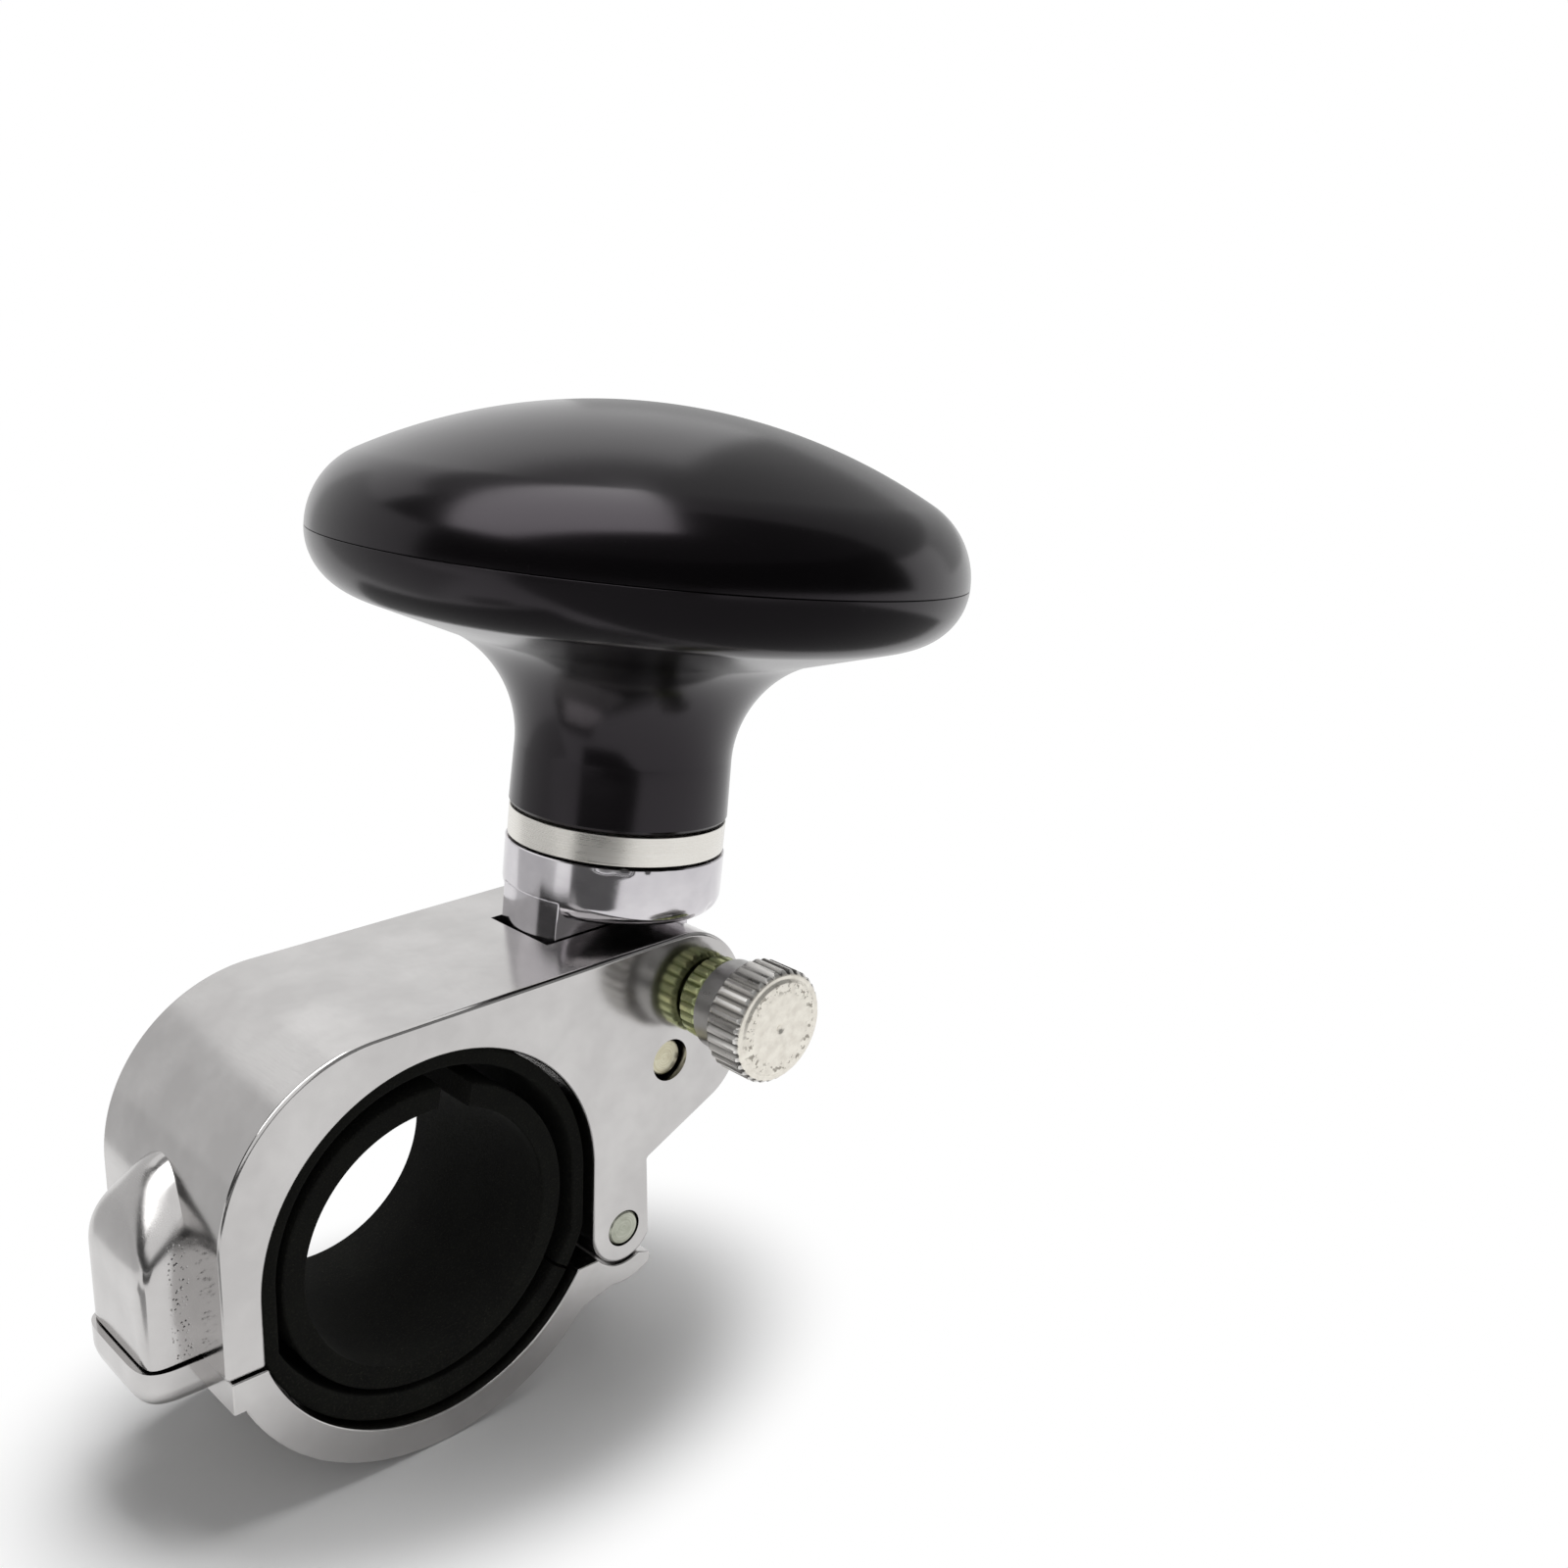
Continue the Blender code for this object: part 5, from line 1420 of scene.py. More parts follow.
    def pivot_pin(self, clamp: Clamp) -> Piece:
        """Builds the headed pin, sunk in front and domed behind.

        Args:
            clamp: The clamp that it crosses.

        Returns:
            The piece.
        """
        head_radius, head_height = self.pin_head
        front = clamp.width / 2 - self.pin_recess
        back = -clamp.width / 2 - GAP
        end = back - head_height
        profile = [(0.0, front), (self.pin_radius, front), (self.pin_radius, back)]
        profile += [(head_radius, back), (head_radius, end), (0.0, end)]
        return revolve("pivot_pin", eased(profile, self.pin_edge, steps=4), 96, self.at_pivot)

    def build(self, clamp: Clamp, lock: "LockPlunger") -> None:
        """Builds and dresses the arm and its pin.

        Args:
            clamp: The clamp that carries the arm.
            lock: The lock plunger.
        """
        look = {"marks": Marks.ROUND, "pale": (216, 213, 216), "dull": (196, 193, 197), "gloss": 0.10}
        alloy = PolishedAlloy("polished_alloy_arm", Slot.POLISHED, self.axis, **look)
        present(self.arm(lock), "pivot_arm", alloy)
        look = {"pale": (214, 211, 190), "dull": (190, 184, 158), "stain": (140, 122, 84)}
        brass = TurnedSteel("turned_pivot_pin", Slot.PIN, self.at_pivot, **look)
        present(self.pivot_pin(clamp), "pivot_pin", brass)


# The lock


@dataclass
class LockPlunger:
    """The sprung plunger that locks the arm: bushing, pin, spring and pull knob."""

    place: Flat = (38.0, 18.5)
    face: float = -13.55
    tongue_face: float = -8.3
    wall: float = 8.0
    radius: float = 2.5
    engagement: float = 3.2
    travel: float = 3.5
    head_length: float = 6.0
    stem_radius: float = 1.6
    stem_seat: float = 5.2
    stem_edge: float = 0.4
    bushing_radius: float = 5.1
    bushing_length: float = 3.2
    bushing_wall: float = 1.4
    bushing_chamfer: float = 0.6
    bushing_edge: float = 0.15
    barrel_radius: float = 3.9
    flutes: int = 24
    flute_depth: float = 0.30
    flute_reach: float = 1.5
    flute_shape: Flat = (1.15, 2.1)
    spring_radius: float = 2.2
    wire_radius: float = 0.25
    spring_turns: int = 5
    knob_radius: float = 6.9
    teeth: int = 34
    tooth_depth: float = 0.5
    tooth_reach: float = 1.3
    tooth_shape: Flat = (1.45, 0.8)
    waist_length: float = 3.3
    waist_radius: float = 5.6
    grip_length: float = 5.3
    grip_edge: float = 0.12
    chamfer: float = 0.5
    face_height: float = 0.3
    face_skin: float = 0.05
    dimple: float = 0.7
    dimple_side: Flat = (0.45, 0.3)

    @property
    def axis(self) -> Matrix:
        """The plunger's frame, from the clamp's front face outwards."""
        return facing_front(self.place[0], self.face, self.place[1])

    @property
    def bushing_top(self) -> float:
        """How far the bushing stands out."""
        return GAP + self.bushing_length

    @property
    def stem_top(self) -> float:
        """Where the plunger's stem ends."""
        return self.bushing_top + GAP + self.stem_seat

    @property
    def tip(self) -> float:
        """Where the plunger's tip ends in the arm's tongue."""
        return self.tongue_face - self.engagement

    @property
    def shoulder(self) -> float:
        """Where the plunger's thick head ends."""
        return self.tip + self.head_length

    @property
    def grip_end(self) -> float:
        """The pull knob's outer rim."""
        return self.bushing_top + GAP + self.waist_length + self.grip_length

    def from_pivot(self, arm: FoldingArm) -> Flat:
        """The plunger's distance from the arm's pivot and its angle in the arm's frame."""
        x, z = self.place[0] - arm.pivot[0], self.place[1] - arm.pivot[1]
        return hypot(x, z), atan2(z, x) + arm.lean

    def fluted(self, angle: float, radius: float, height: float) -> float:
        """The bushing's radius with its shallow flutes.

        Args:
            angle: The angle about the plunger's axis.
            radius: The radius without flutes.
            height: The height from the clamp's face.

        Returns:
            The fluted radius.
        """
        if radius < self.bushing_radius - self.flute_depth * self.flute_reach or height < GAP:
            return radius
        flat, slope = self.flute_shape
        turn = (angle * self.flutes / TURN) % 1.0
        cut = min(1.0, max(0.0, flat - abs(2 * turn - 1) * slope))
        return min(radius, self.bushing_radius - self.flute_depth * cut)

    def bushing(self) -> Piece:
        """Builds the knurled guide bushing.

        Returns:
            The piece.
        """
        top, inner = self.bushing_top, -self.wall
        stem, bore = self.stem_radius + GAP, self.radius + GAP
        rim, cut = self.bushing_radius, self.bushing_chamfer
        step = top - self.bushing_wall
        profile = [(stem, top), (rim - cut, top), (rim, top - cut), (rim, GAP + cut), (rim - cut, GAP)]
        profile += [(self.barrel_radius, GAP), (self.barrel_radius, inner), (bore, inner)]
        profile = eased([*profile, (bore, step), (stem, step)], self.bushing_edge, closed=True)
        return revolve("plunger_bushing", profile, self.flutes * 14, self.axis, True, self.fluted)

    def plunger(self) -> Piece:
        """Builds the plunger pin: a thick head, and a thin stem for the pull knob.

        Returns:
            The piece.
        """
        profile = [(0.0, self.stem_top), (self.stem_radius, self.stem_top)]
        profile += [(self.stem_radius, self.shoulder), (self.radius, self.shoulder)]
        profile += [(self.radius, self.tip), (0.0, self.tip)]
        return revolve("plunger_pin", eased(profile, self.stem_edge, steps=4), 96, self.axis)

    def spring(self) -> Piece:
        """Builds the coil spring, which the plunger presses together.

        Returns:
            The piece.
        """
        low = self.shoulder + GAP + self.wire_radius
        high = self.bushing_top - self.bushing_wall - GAP - self.wire_radius
        per_turn, around = 36, 12
        steps = self.spring_turns * per_turn
        wire = polygon(self.wire_radius, around)
        rings = []
        for i in range(steps + 1):
            angle = TURN * i / per_turn
            height = low + (high - low) * i / steps
            reaches = [(self.spring_radius + x, height + z) for x, z in wire]
            rings.append([(reach * cos(angle), reach * sin(angle), z) for reach, z in reaches])
        return loft("plunger_spring", rings, self.axis)

    def serrated(self, angle: float, radius: float, height: float) -> float:
        """The pull knob's radius with its straight serrations.

        Args:
            angle: The angle about the plunger's axis.
            radius: The radius without serrations.
            height: The height from the clamp's face; not used.

        Returns:
            The serrated radius.
        """
        if radius < self.knob_radius - self.tooth_depth * self.tooth_reach:
            return radius
        slope, roundness = self.tooth_shape
        turn = (angle * self.teeth / TURN) % 1.0
        cut = max(0.0, 1.0 - abs(2 * turn - 1) * slope)
        return min(radius, self.knob_radius - self.tooth_depth * cut**roundness)

    def pull_knob(self) -> Piece:
        """Builds the serrated pull knob with its smooth waist and dimpled end.

        Returns:
            The piece.
        """
        bottom, end, cut = self.bushing_top + GAP, self.grip_end, self.chamfer
        grip, top = bottom + self.waist_length, end + self.face_height
        rim, face = self.knob_radius, self.knob_radius - self.tooth_depth - cut
        hole, hole_end = self.stem_radius + PIN_GAP, self.stem_top + GAP
        across, down = self.dimple_side
        profile = [(0.0, top - self.dimple / 2), (self.dimple * across, top - self.dimple * down)]
        profile += [(self.dimple, top), (face - self.face_height, top), (face, end)]
        profile += [(rim - cut, end), (rim, end - cut), (rim, grip + cut), (rim - cut, grip)]
        profile += [(self.waist_radius, grip), (self.waist_radius, bottom), (hole, bottom)]
        profile = eased([*profile, (hole, hole_end), (0.0, hole_end)], self.grip_edge)
        return revolve("pull_knob", profile, self.teeth * 14, self.axis, shaping=self.serrated)

    def build(self) -> None:
        """Builds and dresses the lock's pieces."""
        present(self.bushing(), "plunger_bushing", YellowZinc("yellow_zinc_bushing", Slot.ZINC, self.axis))
        steel = TurnedSteel("turned_steel_plunger", Slot.STEEL, self.axis)
        present(self.plunger(), "plunger_pin", steel)
        spring = present(self.spring(), "plunger_spring", steel)
        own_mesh(spring)
        face = self.grip_end - self.face_skin
        nickel = SerratedNickel("serrated_nickel_pull_knob", Slot.KNURLED, self.axis, end=face)
        present(self.pull_knob(), "pull_knob", nickel)


# The bearings and the spindle


@dataclass
class BallBearing:
    """One ball bearing: two races, seven balls and their cage."""

    name: str
    height: float
    axis: Matrix
    bore: float = 3.3
    outer: float = 9.5
    width: float = 6.0
    race_wall: float = 1.8
    race_edge: float = 0.2
    ball_radius: float = 1.75
    balls: int = 7
    cage_wall: float = 1.2
    cage_floor: float = 0.5
    cage_rise: float = 0.9
    cage_edge: float = 0.15

    @property
    def pitch(self) -> float:
        """The radius of the balls' circle."""
        return (self.bore + self.outer) / 2

    @property
    def pocket(self) -> float:
        """The radius of a ball with its clearance."""
        return self.ball_radius + BALL_GAP

    def race(self, wall: float, side: float) -> Piece:
        """Builds one race with its ball groove.

        Args:
            wall: The radius of its plain side.
            side: The radius of the side with the groove.

        Returns:
            The piece.
        """
        low, high = self.height - self.width / 2, self.height + self.width / 2
        reach = acos(abs(side - self.pitch) / self.pocket)
        middle = 0.0 if side > self.pitch else pi
        curve = arc((self.pitch, self.height), self.pocket, middle - reach, middle + reach, 14)
        if side > self.pitch:
            profile = [(wall, high), (wall, low), (side, low), *curve, (side, high)]
        else:
            profile = [(side, high), *curve, (side, low), (wall, low), (wall, high)]
        return revolve("race", eased(profile, self.race_edge, closed=True), 128, self.axis, closed=True)

    def ball_places(self) -> list[Vector]:
        """The balls' centres in the knob's frame."""
        return [Vector((x, y, self.height)) for x, y in polygon(self.pitch, self.balls, pi / 2)]

    def ball(self, centre: Vector, radius: float) -> Piece:
        """Builds a ball, or the pocket for one."""
        profile = [(0.0, radius), *arc(CENTRE, radius, pi / 2, -pi / 2, 20)[1:-1], (0.0, -radius)]
        return revolve("ball", profile, 36, self.axis @ Matrix.Translation(centre))

    def cage(self) -> Piece:
        """Builds the cage with its pockets.

        Returns:
            The piece.
        """
        half = self.cage_wall / 2
        low, high = self.height - self.pocket - self.cage_floor, self.height + self.cage_rise
        section = hollow(self.pitch - half, self.pitch + half, low, high, self.cage_edge)
        piece = revolve("cage", section, 126, self.axis, closed=True)
        for centre in self.ball_places():
            combine(piece, self.ball(centre, self.pocket), Joining.CUT)
        return piece

    def build(self) -> None:
        """Builds and dresses the bearing's pieces."""
        bright = ((206, 208, 212), (186, 188, 194), 0.12, 9.0, 0.002, (150, 148, 146), 0.1)
        ground = TurnedSteel("ground_bearing_steel", Slot.BEARING, self.axis, *bright)
        start = f"{self.name}_bearing"
        present(self.race(self.bore, self.bore + self.race_wall), f"{start}_inner_race", ground)
        present(self.race(self.outer, self.outer - self.race_wall), f"{start}_outer_race", ground)
        golden = ((214, 186, 118), (186, 156, 92), 0.24, 5.0, 0.003, (120, 96, 56), 0.4)
        brass = TurnedSteel("pressed_cage_brass", Slot.CAGE, self.axis, *golden)
        present(self.cage(), f"{start}_cage", brass)
        for number, centre in enumerate(self.ball_places(), 1):
            present(self.ball(centre, self.ball_radius), f"{start}_ball_{number}", ground)


@dataclass
class SpindleStack:
    """The spindle inside the knob with its spacer, washer, nut and two bearings."""

    axis: Matrix
    collar_top: float
    radius: float = 3.0
    seat: float = 10.4
    flange_radius: float = 4.8
    tip: float = 1.0
    chamfer: float = 0.5
    edge: float = 0.25
    bearing_width: float = 6.0
    bearing_spacing: float = 12.7
    ring_height: float = 3.5
    spacer_radius: float = 4.6
    washer: Flat = (5.5, 1.0)
    collar_edge: float = 0.2
    nut_flats: float = 10.0
    nut_height: float = 5.0
    nut_chamfer: Flat = (1.2, 0.435)
    pitch: float = 1.0
    thread_depth: float = 0.5

    @property
    def lower(self) -> float:
        """The lower bearing's middle."""
        return self.collar_top + self.ring_height + 4 * GAP + self.bearing_width / 2

    @property
    def upper(self) -> float:
        """The upper bearing's middle."""
        return self.lower + self.bearing_spacing

    @property
    def washer_bottom(self) -> float:
        """The washer's underside."""
        return self.upper + self.bearing_width / 2 + GAP

    @property
    def nut_bottom(self) -> float:
        """The nut's underside."""
        return self.washer_bottom + self.washer[1] + GAP

    def spindle(self) -> Piece:
        """Builds the spindle, seated in the collar and threaded for the nut.

        Returns:
            The piece.
        """
        radius, flange, chamfer = self.radius, self.flange_radius, self.chamfer
        end = self.nut_bottom + self.nut_height + self.tip
        flange_top = self.lower - self.bearing_width / 2 - GAP
        flange_bottom = self.collar_top + GAP
        foot, start = self.collar_top - self.seat, self.washer_bottom
        line = [(radius, start), (radius, flange_top), (flange, flange_top), (flange, flange_bottom)]
        line += [(radius, flange_bottom), (radius, foot), (0.0, foot)]
        profile = [(0.0, end), (radius - chamfer, end)]
        profile += filled([(radius, end - chamfer), (radius, start)], self.pitch / 8)
        profile += eased(line, self.edge)[1:]
        thread = threaded(self.pitch, self.thread_depth, start, end - chamfer * THREAD_END)
        return revolve("spindle", profile, 72, self.axis, shaping=thread)

    def collar(self, outer: float, low: float, high: float) -> Piece:
        """Builds a plain ring on the spindle."""
        section = hollow(self.radius + GAP, outer, low, high, self.collar_edge)
        return revolve("collar", section, 96, self.axis, closed=True)

    def hexagonal(self, angle: float, radius: float, height: float) -> float:
        """The nut's radius, held inside its flats.

        Args:
            angle: The angle about the knob's axis.
            radius: The radius of a round nut.
            height: The height in the arm's frame; not used.

        Returns:
            The hexagonal radius.
        """
        if radius < self.nut_flats / 2 - 1:
            return radius
        return min(radius, self.nut_flats / 2 / cos((angle + pi / 6) % (pi / 3) - pi / 6))

    def nut(self) -> Piece:
        """Builds the hexagon nut with both faces chamfered.

        Returns:
            The piece.
        """
        low, high = self.nut_bottom, self.nut_bottom + self.nut_height
        corner = self.nut_flats / 2 / cos(pi / 6)
        bore = self.radius + GAP
        inwards, cut = self.nut_chamfer
        face = corner - inwards
        section = [(face, high), (corner, high - cut), (corner, low + cut), (face, low)]
        section += [(bore, low), (bore, high)]
        return revolve("spindle_nut", section, 96, self.axis, True, self.hexagonal)

    def build(self) -> None:
        """Builds and dresses the spindle's pieces and both bearings."""
        look = {"pale": (196, 197, 192), "dull": (160, 162, 156)}
        steel = TurnedSteel("turned_steel_spindle", Slot.STEEL, self.axis, **look)
        half = self.bearing_width / 2 + GAP
        radius, thickness = self.washer
        bottom = self.washer_bottom
        present(self.spindle(), "spindle", steel)
        spacer = self.collar(self.spacer_radius, self.lower + half, self.upper - half)
        present(spacer, "bearing_spacer", steel)
        present(self.collar(radius, bottom, bottom + thickness), "spindle_washer", steel)
        present(self.nut(), "spindle_nut", steel)
        BallBearing("lower", self.lower, self.axis).build()
        BallBearing("upper", self.upper, self.axis).build()


# The knob


@dataclass
class KnobHead:
    """The knob: a domed cap on a hollow base with its neck, and the bright ring under it."""

    axis: Matrix
    spindle: SpindleStack
    neck_radius: float = 13.0
    foot_radius: float = 13.2
    foot_chamfer: Flat = (0.25, 0.4)
    neck_level: float = 3.0
    head_radius: float = 38.0
    equator: float = 58.5
    dome_height: float = 16.8
    dome_rim: float = 9.8
    under_rim: float = 7.0
    under_slope: float = radians(17)
    fillet_radius: float = 14.0
    shell: float = 3.0
    rim_wall: float = 3.0
    spigot_wall: float = 1.7
    spigot_length: float = 2.7
    gate_mark: tuple[Flat, ...] = ((0.0, 0.22), (0.35, 0.20), (0.6, 0.02))
    bearing_outer: float = 9.5
    race_wall: float = 1.8
    ring_radius: float = 13.1
    ring_edge: float = 0.12
    seam: float = 0.03
    seam_ease: float = 0.05

    @property
    def ring_bottom(self) -> float:
        """The bright ring's underside."""
        return self.spindle.collar_top + GAP

    @property
    def ring_top(self) -> float:
        """The bright ring's upper face."""
        return self.ring_bottom + self.spindle.ring_height

    def under_line(self, radius: float) -> float:
        """The height of the head's conical underside at a radius.

        Args:
            radius: The radius.

        Returns:
            The height.
        """
        x = self.head_radius - self.under_rim * (1 - sin(self.under_slope))
        z = self.equator - self.under_rim * cos(self.under_slope)
        return z - (x - radius) * tan(self.under_slope)

    def base(self) -> Piece:
        """Builds the knob's lower half and neck in one moulding.

        Returns:
            The piece.
        """
        slope, fillet, bottom = self.under_slope, self.fillet_radius, self.ring_top + GAP
        rim = (self.head_radius - self.under_rim, self.equator)
        first = -asin((self.seam + self.seam_ease) / self.under_rim)
        fillet_x = self.neck_radius + fillet
        fillet_z = self.under_line(fillet_x) - fillet / cos(slope)
        inwards, rise = self.foot_chamfer
        seat = self.bearing_outer + GAP
        web = self.bearing_outer - self.race_wall - GAP
        half = self.spindle.bearing_width / 2 + GAP
        lower, upper = self.spindle.lower + half, self.spindle.upper - half
        floor_rise = self.shell / cos(slope)
        wall = self.head_radius - self.rim_wall
        step = wall - self.spigot_wall + GAP
        step_z = self.equator - self.spigot_length - 2 * GAP
        seam = self.equator - self.seam
        profile = arc(rim, self.under_rim, first, slope - pi / 2, 28)
        profile += arc((fillet_x, fillet_z), fillet, pi / 2 + slope, pi, 36)
        profile += filled([profile[-1], (self.foot_radius, bottom + rise)], self.neck_level)[1:]
        profile += [(self.foot_radius - inwards, bottom), (seat, bottom), (seat, lower), (web, lower)]
        profile += [(web, upper), (seat, upper), (seat, self.under_line(seat) + floor_rise)]
        profile += [(step, self.under_line(step) + floor_rise), (step, step_z), (wall, step_z), (wall, seam)]
        profile += [(self.head_radius - self.seam_ease, seam)]
        return revolve("knob_base", profile, 224, self.axis, closed=True)

    def cap(self) -> Piece:
        """Builds the domed upper half, with its spigot and the tiny gate mark on its crown.

        Returns:
            The piece.
        """
        rim_x = self.head_radius - self.dome_rim
        rise = self.dome_height - self.dome_rim
        drop = (rim_x**2 - rise**2) / (2 * rise)
        crown = self.dome_height + drop
        inside = crown - self.shell
        centre = (0.0, self.equator - drop)
        meet = atan2(drop, rim_x)
        first = asin((self.seam + self.seam_ease) / self.dome_rim)
        top = self.equator + self.dome_height
        outer = self.head_radius - self.rim_wall - GAP
        inner = outer - self.spigot_wall
        end = self.equator - self.spigot_length
        seam = self.equator + self.seam
        profile = [(x, top - depth) for x, depth in self.gate_mark]
        profile += arc(centre, crown, pi / 2, meet, 64)[1:]
        profile += arc((rim_x, self.equator), self.dome_rim, meet, first, 28)[1:]
        profile += [(self.head_radius - self.seam_ease, seam), (outer, seam), (outer, end), (inner, end)]
        profile += arc(centre, inside, acos(inner / inside), pi / 2, 32)[:-1]
        profile.append((0.0, centre[1] + inside))
        return revolve("knob_cap", profile, 224, self.axis)

    def ring(self) -> Piece:
        """Builds the bright turned ring, whose lip keeps the lower bearing in its seat.

        Returns:
            The piece.
        """
        lip = self.spindle.lower - self.spindle.bearing_width / 2 - GAP
        bore = self.bearing_outer - self.race_wall
        top, bottom = self.ring_top, self.ring_bottom
        section = [(self.bearing_outer, lip), (self.bearing_outer, top), (self.ring_radius, top)]
        section += [(self.ring_radius, bottom), (bore, bottom), (bore, lip)]
        profile = eased(section, self.ring_edge, closed=True)
        return revolve("neck_ring", profile, 224, self.axis, closed=True)

    def build(self) -> None:
        """Builds and dresses the knob's pieces."""
        gloss = BlackGloss("black_gloss_knob", Slot.GLOSS, self.axis)
        present(self.base(), "knob_base", gloss)
        present(self.cap(), "knob_cap", gloss)
        present(self.ring(), "neck_ring", BrushedAluminium("brushed_aluminium_ring", Slot.BRUSHED, self.axis))


# The studio

# Each card has its name, its first and last azimuth, its elevations and how bright it looks.
CARDS = (
    ("dark_front", (-118, 62), (-1, 30), 0.05),
    ("dark_ceiling_front", (-150, 62), (30, 88), 0.10),
    ("dark_ceiling_right", (62, 128), (20, 88), 0.34),
    ("dark_ceiling_back", (128, 210), (47, 88), 0.30),
    ("grey_right_low", (88, 142), (2, 19), 0.60),
    ("grey_left", (-185, -118), (-4, 30), 0.70),
)
# Each panel has its name, its corners in X and Y, its height and how bright it looks. The lowest
# ones lie just above the floor.
PANELS = (
    ("overhead_panel", ((-765, 321), (-786, -43), (-64, -316), (263, 214)), 600, 3.3),
    ("pale_near", ((-110, -16), (-110, -120), (-16, -120), (-16, -16)), 43.5, 0.95),
    ("dark_near", ((-150, -30), (-150, -190), (100, -190), (100, -30)), 44.5, 0.28),
    ("grey_bench_left", ((-66, -26), (-97, -32), (-97, 30), (-66, 30)), -26.2, 0.36),
    ("grey_bench_back", ((-60, 52), (-330, 52), (-1400, 1100), (-200, 1400)), -26.4, 0.62),
    ("pale_under_knob", ((-8, -24), (-8, 34), (17, 34), (17, -24)), 49.0, 1.1),
    ("dark_under_knob", ((-8, -24), (-8, 34), (17, 34), (17, -24)), 49.3, 0.25),
    ("dark_bench", ((-148, -22), (-1381, -195), (-330, -1360), (-92, -122)), -26.4, 0.11),
)


def bare_material(piece: Piece) -> tuple[Nodes, Socket]:
    """Gives a piece a material without a shader.

    Args:
        piece: The piece.

    Returns:
        The material's nodes, and the input for its surface.
    """
    material = bpy.data.materials.new(piece.name)
    material.use_nodes = True
    tree = material.node_tree
    tree.nodes.remove(tree.nodes["Principled BSDF"])
    piece.data.materials.append(material)
    return Nodes(tree), tree.nodes["Material Output"].inputs["Surface"]


@dataclass
class Studio:
    """The pale floor, the soft lamp, the grey cards, the white surroundings and the camera."""

    middle: Spot = (10, 0, 30)
    fill: float = 0.24
    floor_height: float = -26.9
    floor_radius: float = 900.0
    floor_tone: float = 0.92
    floor_lift: float = 0.02
    footprint: Flat = (1.0, 1.6)
    footprint_shift: Flat = (-0.006, 0.005)
    footprint_edge: Flat = (0.034, 0.062)
    lamp_direction: Flat = (100, 76)
    lamp_distance: float = 640
    lamp_size: Flat = (420, 380)
    lamp_power: float = 7.4
    card_distance: float = 1500
    camera_place: Spot = (-85.487, -143.55, 96.548)
    heading: float = radians(43.2955)
    pitch: float = radians(18.8965)
    roll: float = radians(-2.3474)
    focal_length: float = 37.152
    sensor: float = 36.0
    shift: Flat = (0.05, 0.05)
    clip: Flat = (0.005, 20.0)

    def camera(self) -> None:
        """Makes the camera that stands where the photograph was taken from."""
        data = bpy.data.cameras.new("photo_camera")
        data.lens = self.focal_length
        data.sensor_width = self.sensor
        data.sensor_fit = "HORIZONTAL"
        data.shift_x, data.shift_y = self.shift
        data.clip_start, data.clip_end = self.clip
        camera = bpy.data.objects.new("photo_camera", data)
        bpy.context.scene.collection.objects.link(camera)
        east, north = sin(self.heading), cos(self.heading)
        forward = Vector((cos(self.pitch) * east, cos(self.pitch) * north, -sin(self.pitch)))
        level = Vector((north, -east, 0))
        down = forward.cross(level)
        right = cos(self.roll) * level + sin(self.roll) * down
        below = -sin(self.roll) * level + cos(self.roll) * down
        turn = Matrix((right, -below, -forward)).transposed().to_4x4()
        camera.matrix_world = Matrix.Translation(Vector(self.camera_place) * MM) @ turn
        bpy.context.scene.camera = camera

    def surroundings(self) -> None:
        """Makes the world: white where it is seen, and a soft even fill elsewhere."""
        world = bpy.data.worlds.new("white_surroundings")
        world.use_nodes = True
        bpy.context.scene.world = world
        nodes = Nodes(world.node_tree)
        background = world.node_tree.nodes["Background"].inputs
        strength = nodes.add("MapRange", {"Value": nodes.seen(), "To Min": self.fill, "To Max": 1.0})
        nodes.feed(background["Color"], (1, 1, 1, 1))
        nodes.feed(background["Strength"], strength)

    def floor(self) -> None:
        """Makes the pale floor, which keeps the object's shadow and is white further out."""
        radius, top = self.floor_radius, self.floor_height
        profile = [(0.0, top), (radius, top), (radius, top - 1), (0.0, top - 1)]
        floor = revolve("pale_floor", profile, 96, Matrix.Translation((self.middle[0], 0, 0)))
        floor.data.transform(Matrix.Scale(MM, 4))
        nodes, surface = bare_material(floor)
        diffuse = nodes.add("BsdfDiffuse", {"Color": (*[self.floor_tone] * 3, 1)})
        lift = nodes.add("Emission", {"Strength": nodes.calc("MULTIPLY", nodes.seen(), self.floor_lift)})
        near = nodes.add("AddShader", {0: diffuse, 1: lift})
        glow = nodes.add("Emission", {"Strength": nodes.seen()})
        place = {"Location": (*self.footprint_shift, 0), "Scale": (*self.footprint, 0)}
        place["Vector"] = nodes.add("TexCoord", result="Object")
        away = nodes.add("VectorMath", {0: nodes.add("Mapping", place)}, "Value", operation="LENGTH")
        start, end = self.footprint_edge
        edge = {"Value": away, "From Min": start, "From Max": end}
        far = nodes.add("MapRange", edge, interpolation_type="SMOOTHSTEP")
        nodes.feed(surface, nodes.add("MixShader", {0: far, 1: near, 2: glow}))

    def around(self, azimuth: float, elevation: float, distance: float) -> tuple[Vector, Matrix]:
        """A place round the object and the turn that faces the object from it.

        Args:
            azimuth: Where it lies, in degrees from -Y towards +X.
            elevation: Its height above the horizon, in degrees.
            distance: Its distance in millimetres.

        Returns:
            The place in metres, and the turn.
        """
        a, e = radians(azimuth), radians(elevation)
        away = Vector((sin(a) * cos(e), -cos(a) * cos(e), sin(e)))
        turn = away.to_track_quat("Z", "Y").to_matrix().to_4x4()
        return (Vector(self.middle) + away * distance) * MM, turn

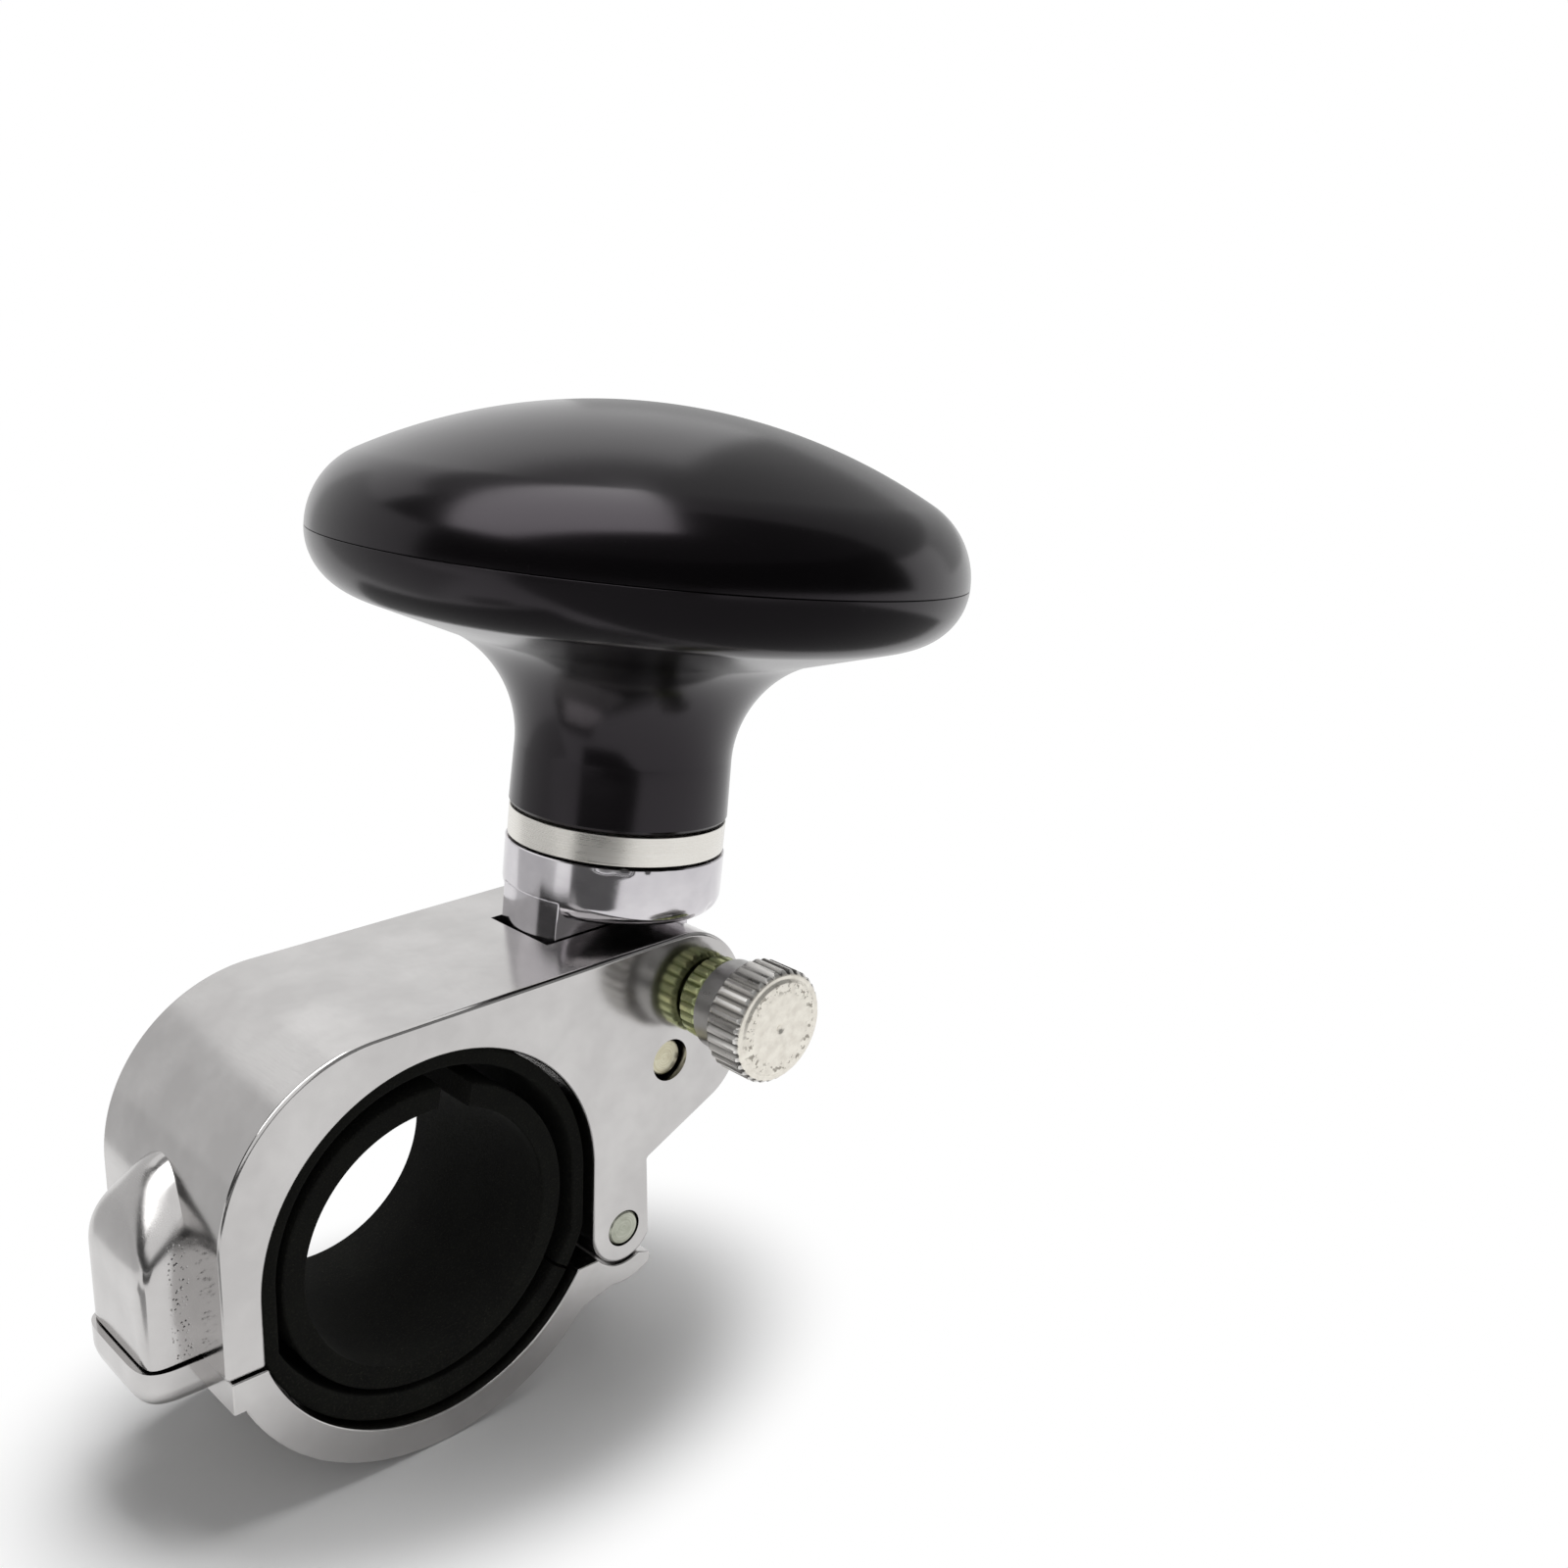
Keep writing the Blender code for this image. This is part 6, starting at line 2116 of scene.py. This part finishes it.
    def lamp(self) -> None:
        """Hangs the soft lamp that looks at the object."""
        data = bpy.data.lights.new("overhead_softbox", "AREA")
        data.shape = "RECTANGLE"
        width, depth = (side * MM for side in self.lamp_size)
        data.size, data.size_y = width, depth
        data.energy = self.lamp_power * pi * width * depth
        lamp = bpy.data.objects.new("overhead_softbox", data)
        bpy.context.scene.collection.objects.link(lamp)
        spot, turn = self.around(*self.lamp_direction, self.lamp_distance)
        lamp.matrix_world = Matrix.Translation(spot) @ turn
        lamp.visible_camera = False
        lamp.visible_glossy = False

    def screen(self, name: str, bounds: Sequence[Flat], grey: float, height: Optional[float] = None) -> None:
        """Makes a glowing four-sided screen that only the reflections show.

        Args:
            name: The screen's name.
            bounds: Its corners in order, in X and Y, or as azimuth and elevation for a card.
            grey: How bright it looks.
            height: Its height, or None for a card that curves round the object.
        """
        columns, rows = 24, 12
        first, second, third, fourth = (Vector(corner) for corner in bounds)
        corners, faces = [], []
        for j in range(rows + 1):
            for i in range(columns + 1):
                low, high = first.lerp(second, i / columns), fourth.lerp(third, i / columns)
                if i < columns and j < rows:
                    here = len(corners)
                    faces.append((here, here + 1, here + columns + 2, here + columns + 1))
                spot = low.lerp(high, j / rows)
                if height is None:
                    corners.append(tuple(self.around(*spot, self.card_distance)[0]))
                else:
                    corners.append((spot.x * MM, spot.y * MM, height * MM))
        screen = from_faces(name, corners, faces)
        nodes, surface = bare_material(screen)
        nodes.feed(surface, nodes.add("Emission", {"Color": (grey, grey, grey, 1)}))
        screen.visible_camera = False
        screen.visible_diffuse = False
        screen.visible_shadow = False

    def build(self) -> None:
        """Sets up the studio."""
        self.camera()
        self.surroundings()
        self.floor()
        self.lamp()
        for name, (left, right), (low, high), grey in CARDS:
            bounds = ((left, low), (right, low), (right, high), (left, high))
            self.screen(name, bounds, grey)
        for name, bounds, height, grey in PANELS:
            self.screen(name, bounds, grey, height)
        bpy.context.scene.view_settings.view_transform = "Standard"


def main() -> None:
    """Builds the whole knob and the studio round it."""
    logging.basicConfig(level=logging.INFO, format="%(message)s")
    clamp = Clamp()
    arm = FoldingArm()
    lock = LockPlunger()
    clamp.build(arm, lock)
    arm.build(clamp, lock)
    lock.build()
    spindle = SpindleStack(arm.axis, arm.collar_top)
    spindle.build()
    KnobHead(arm.axis, spindle).build()
    Studio().build()


if __name__ == "__main__":
    main()
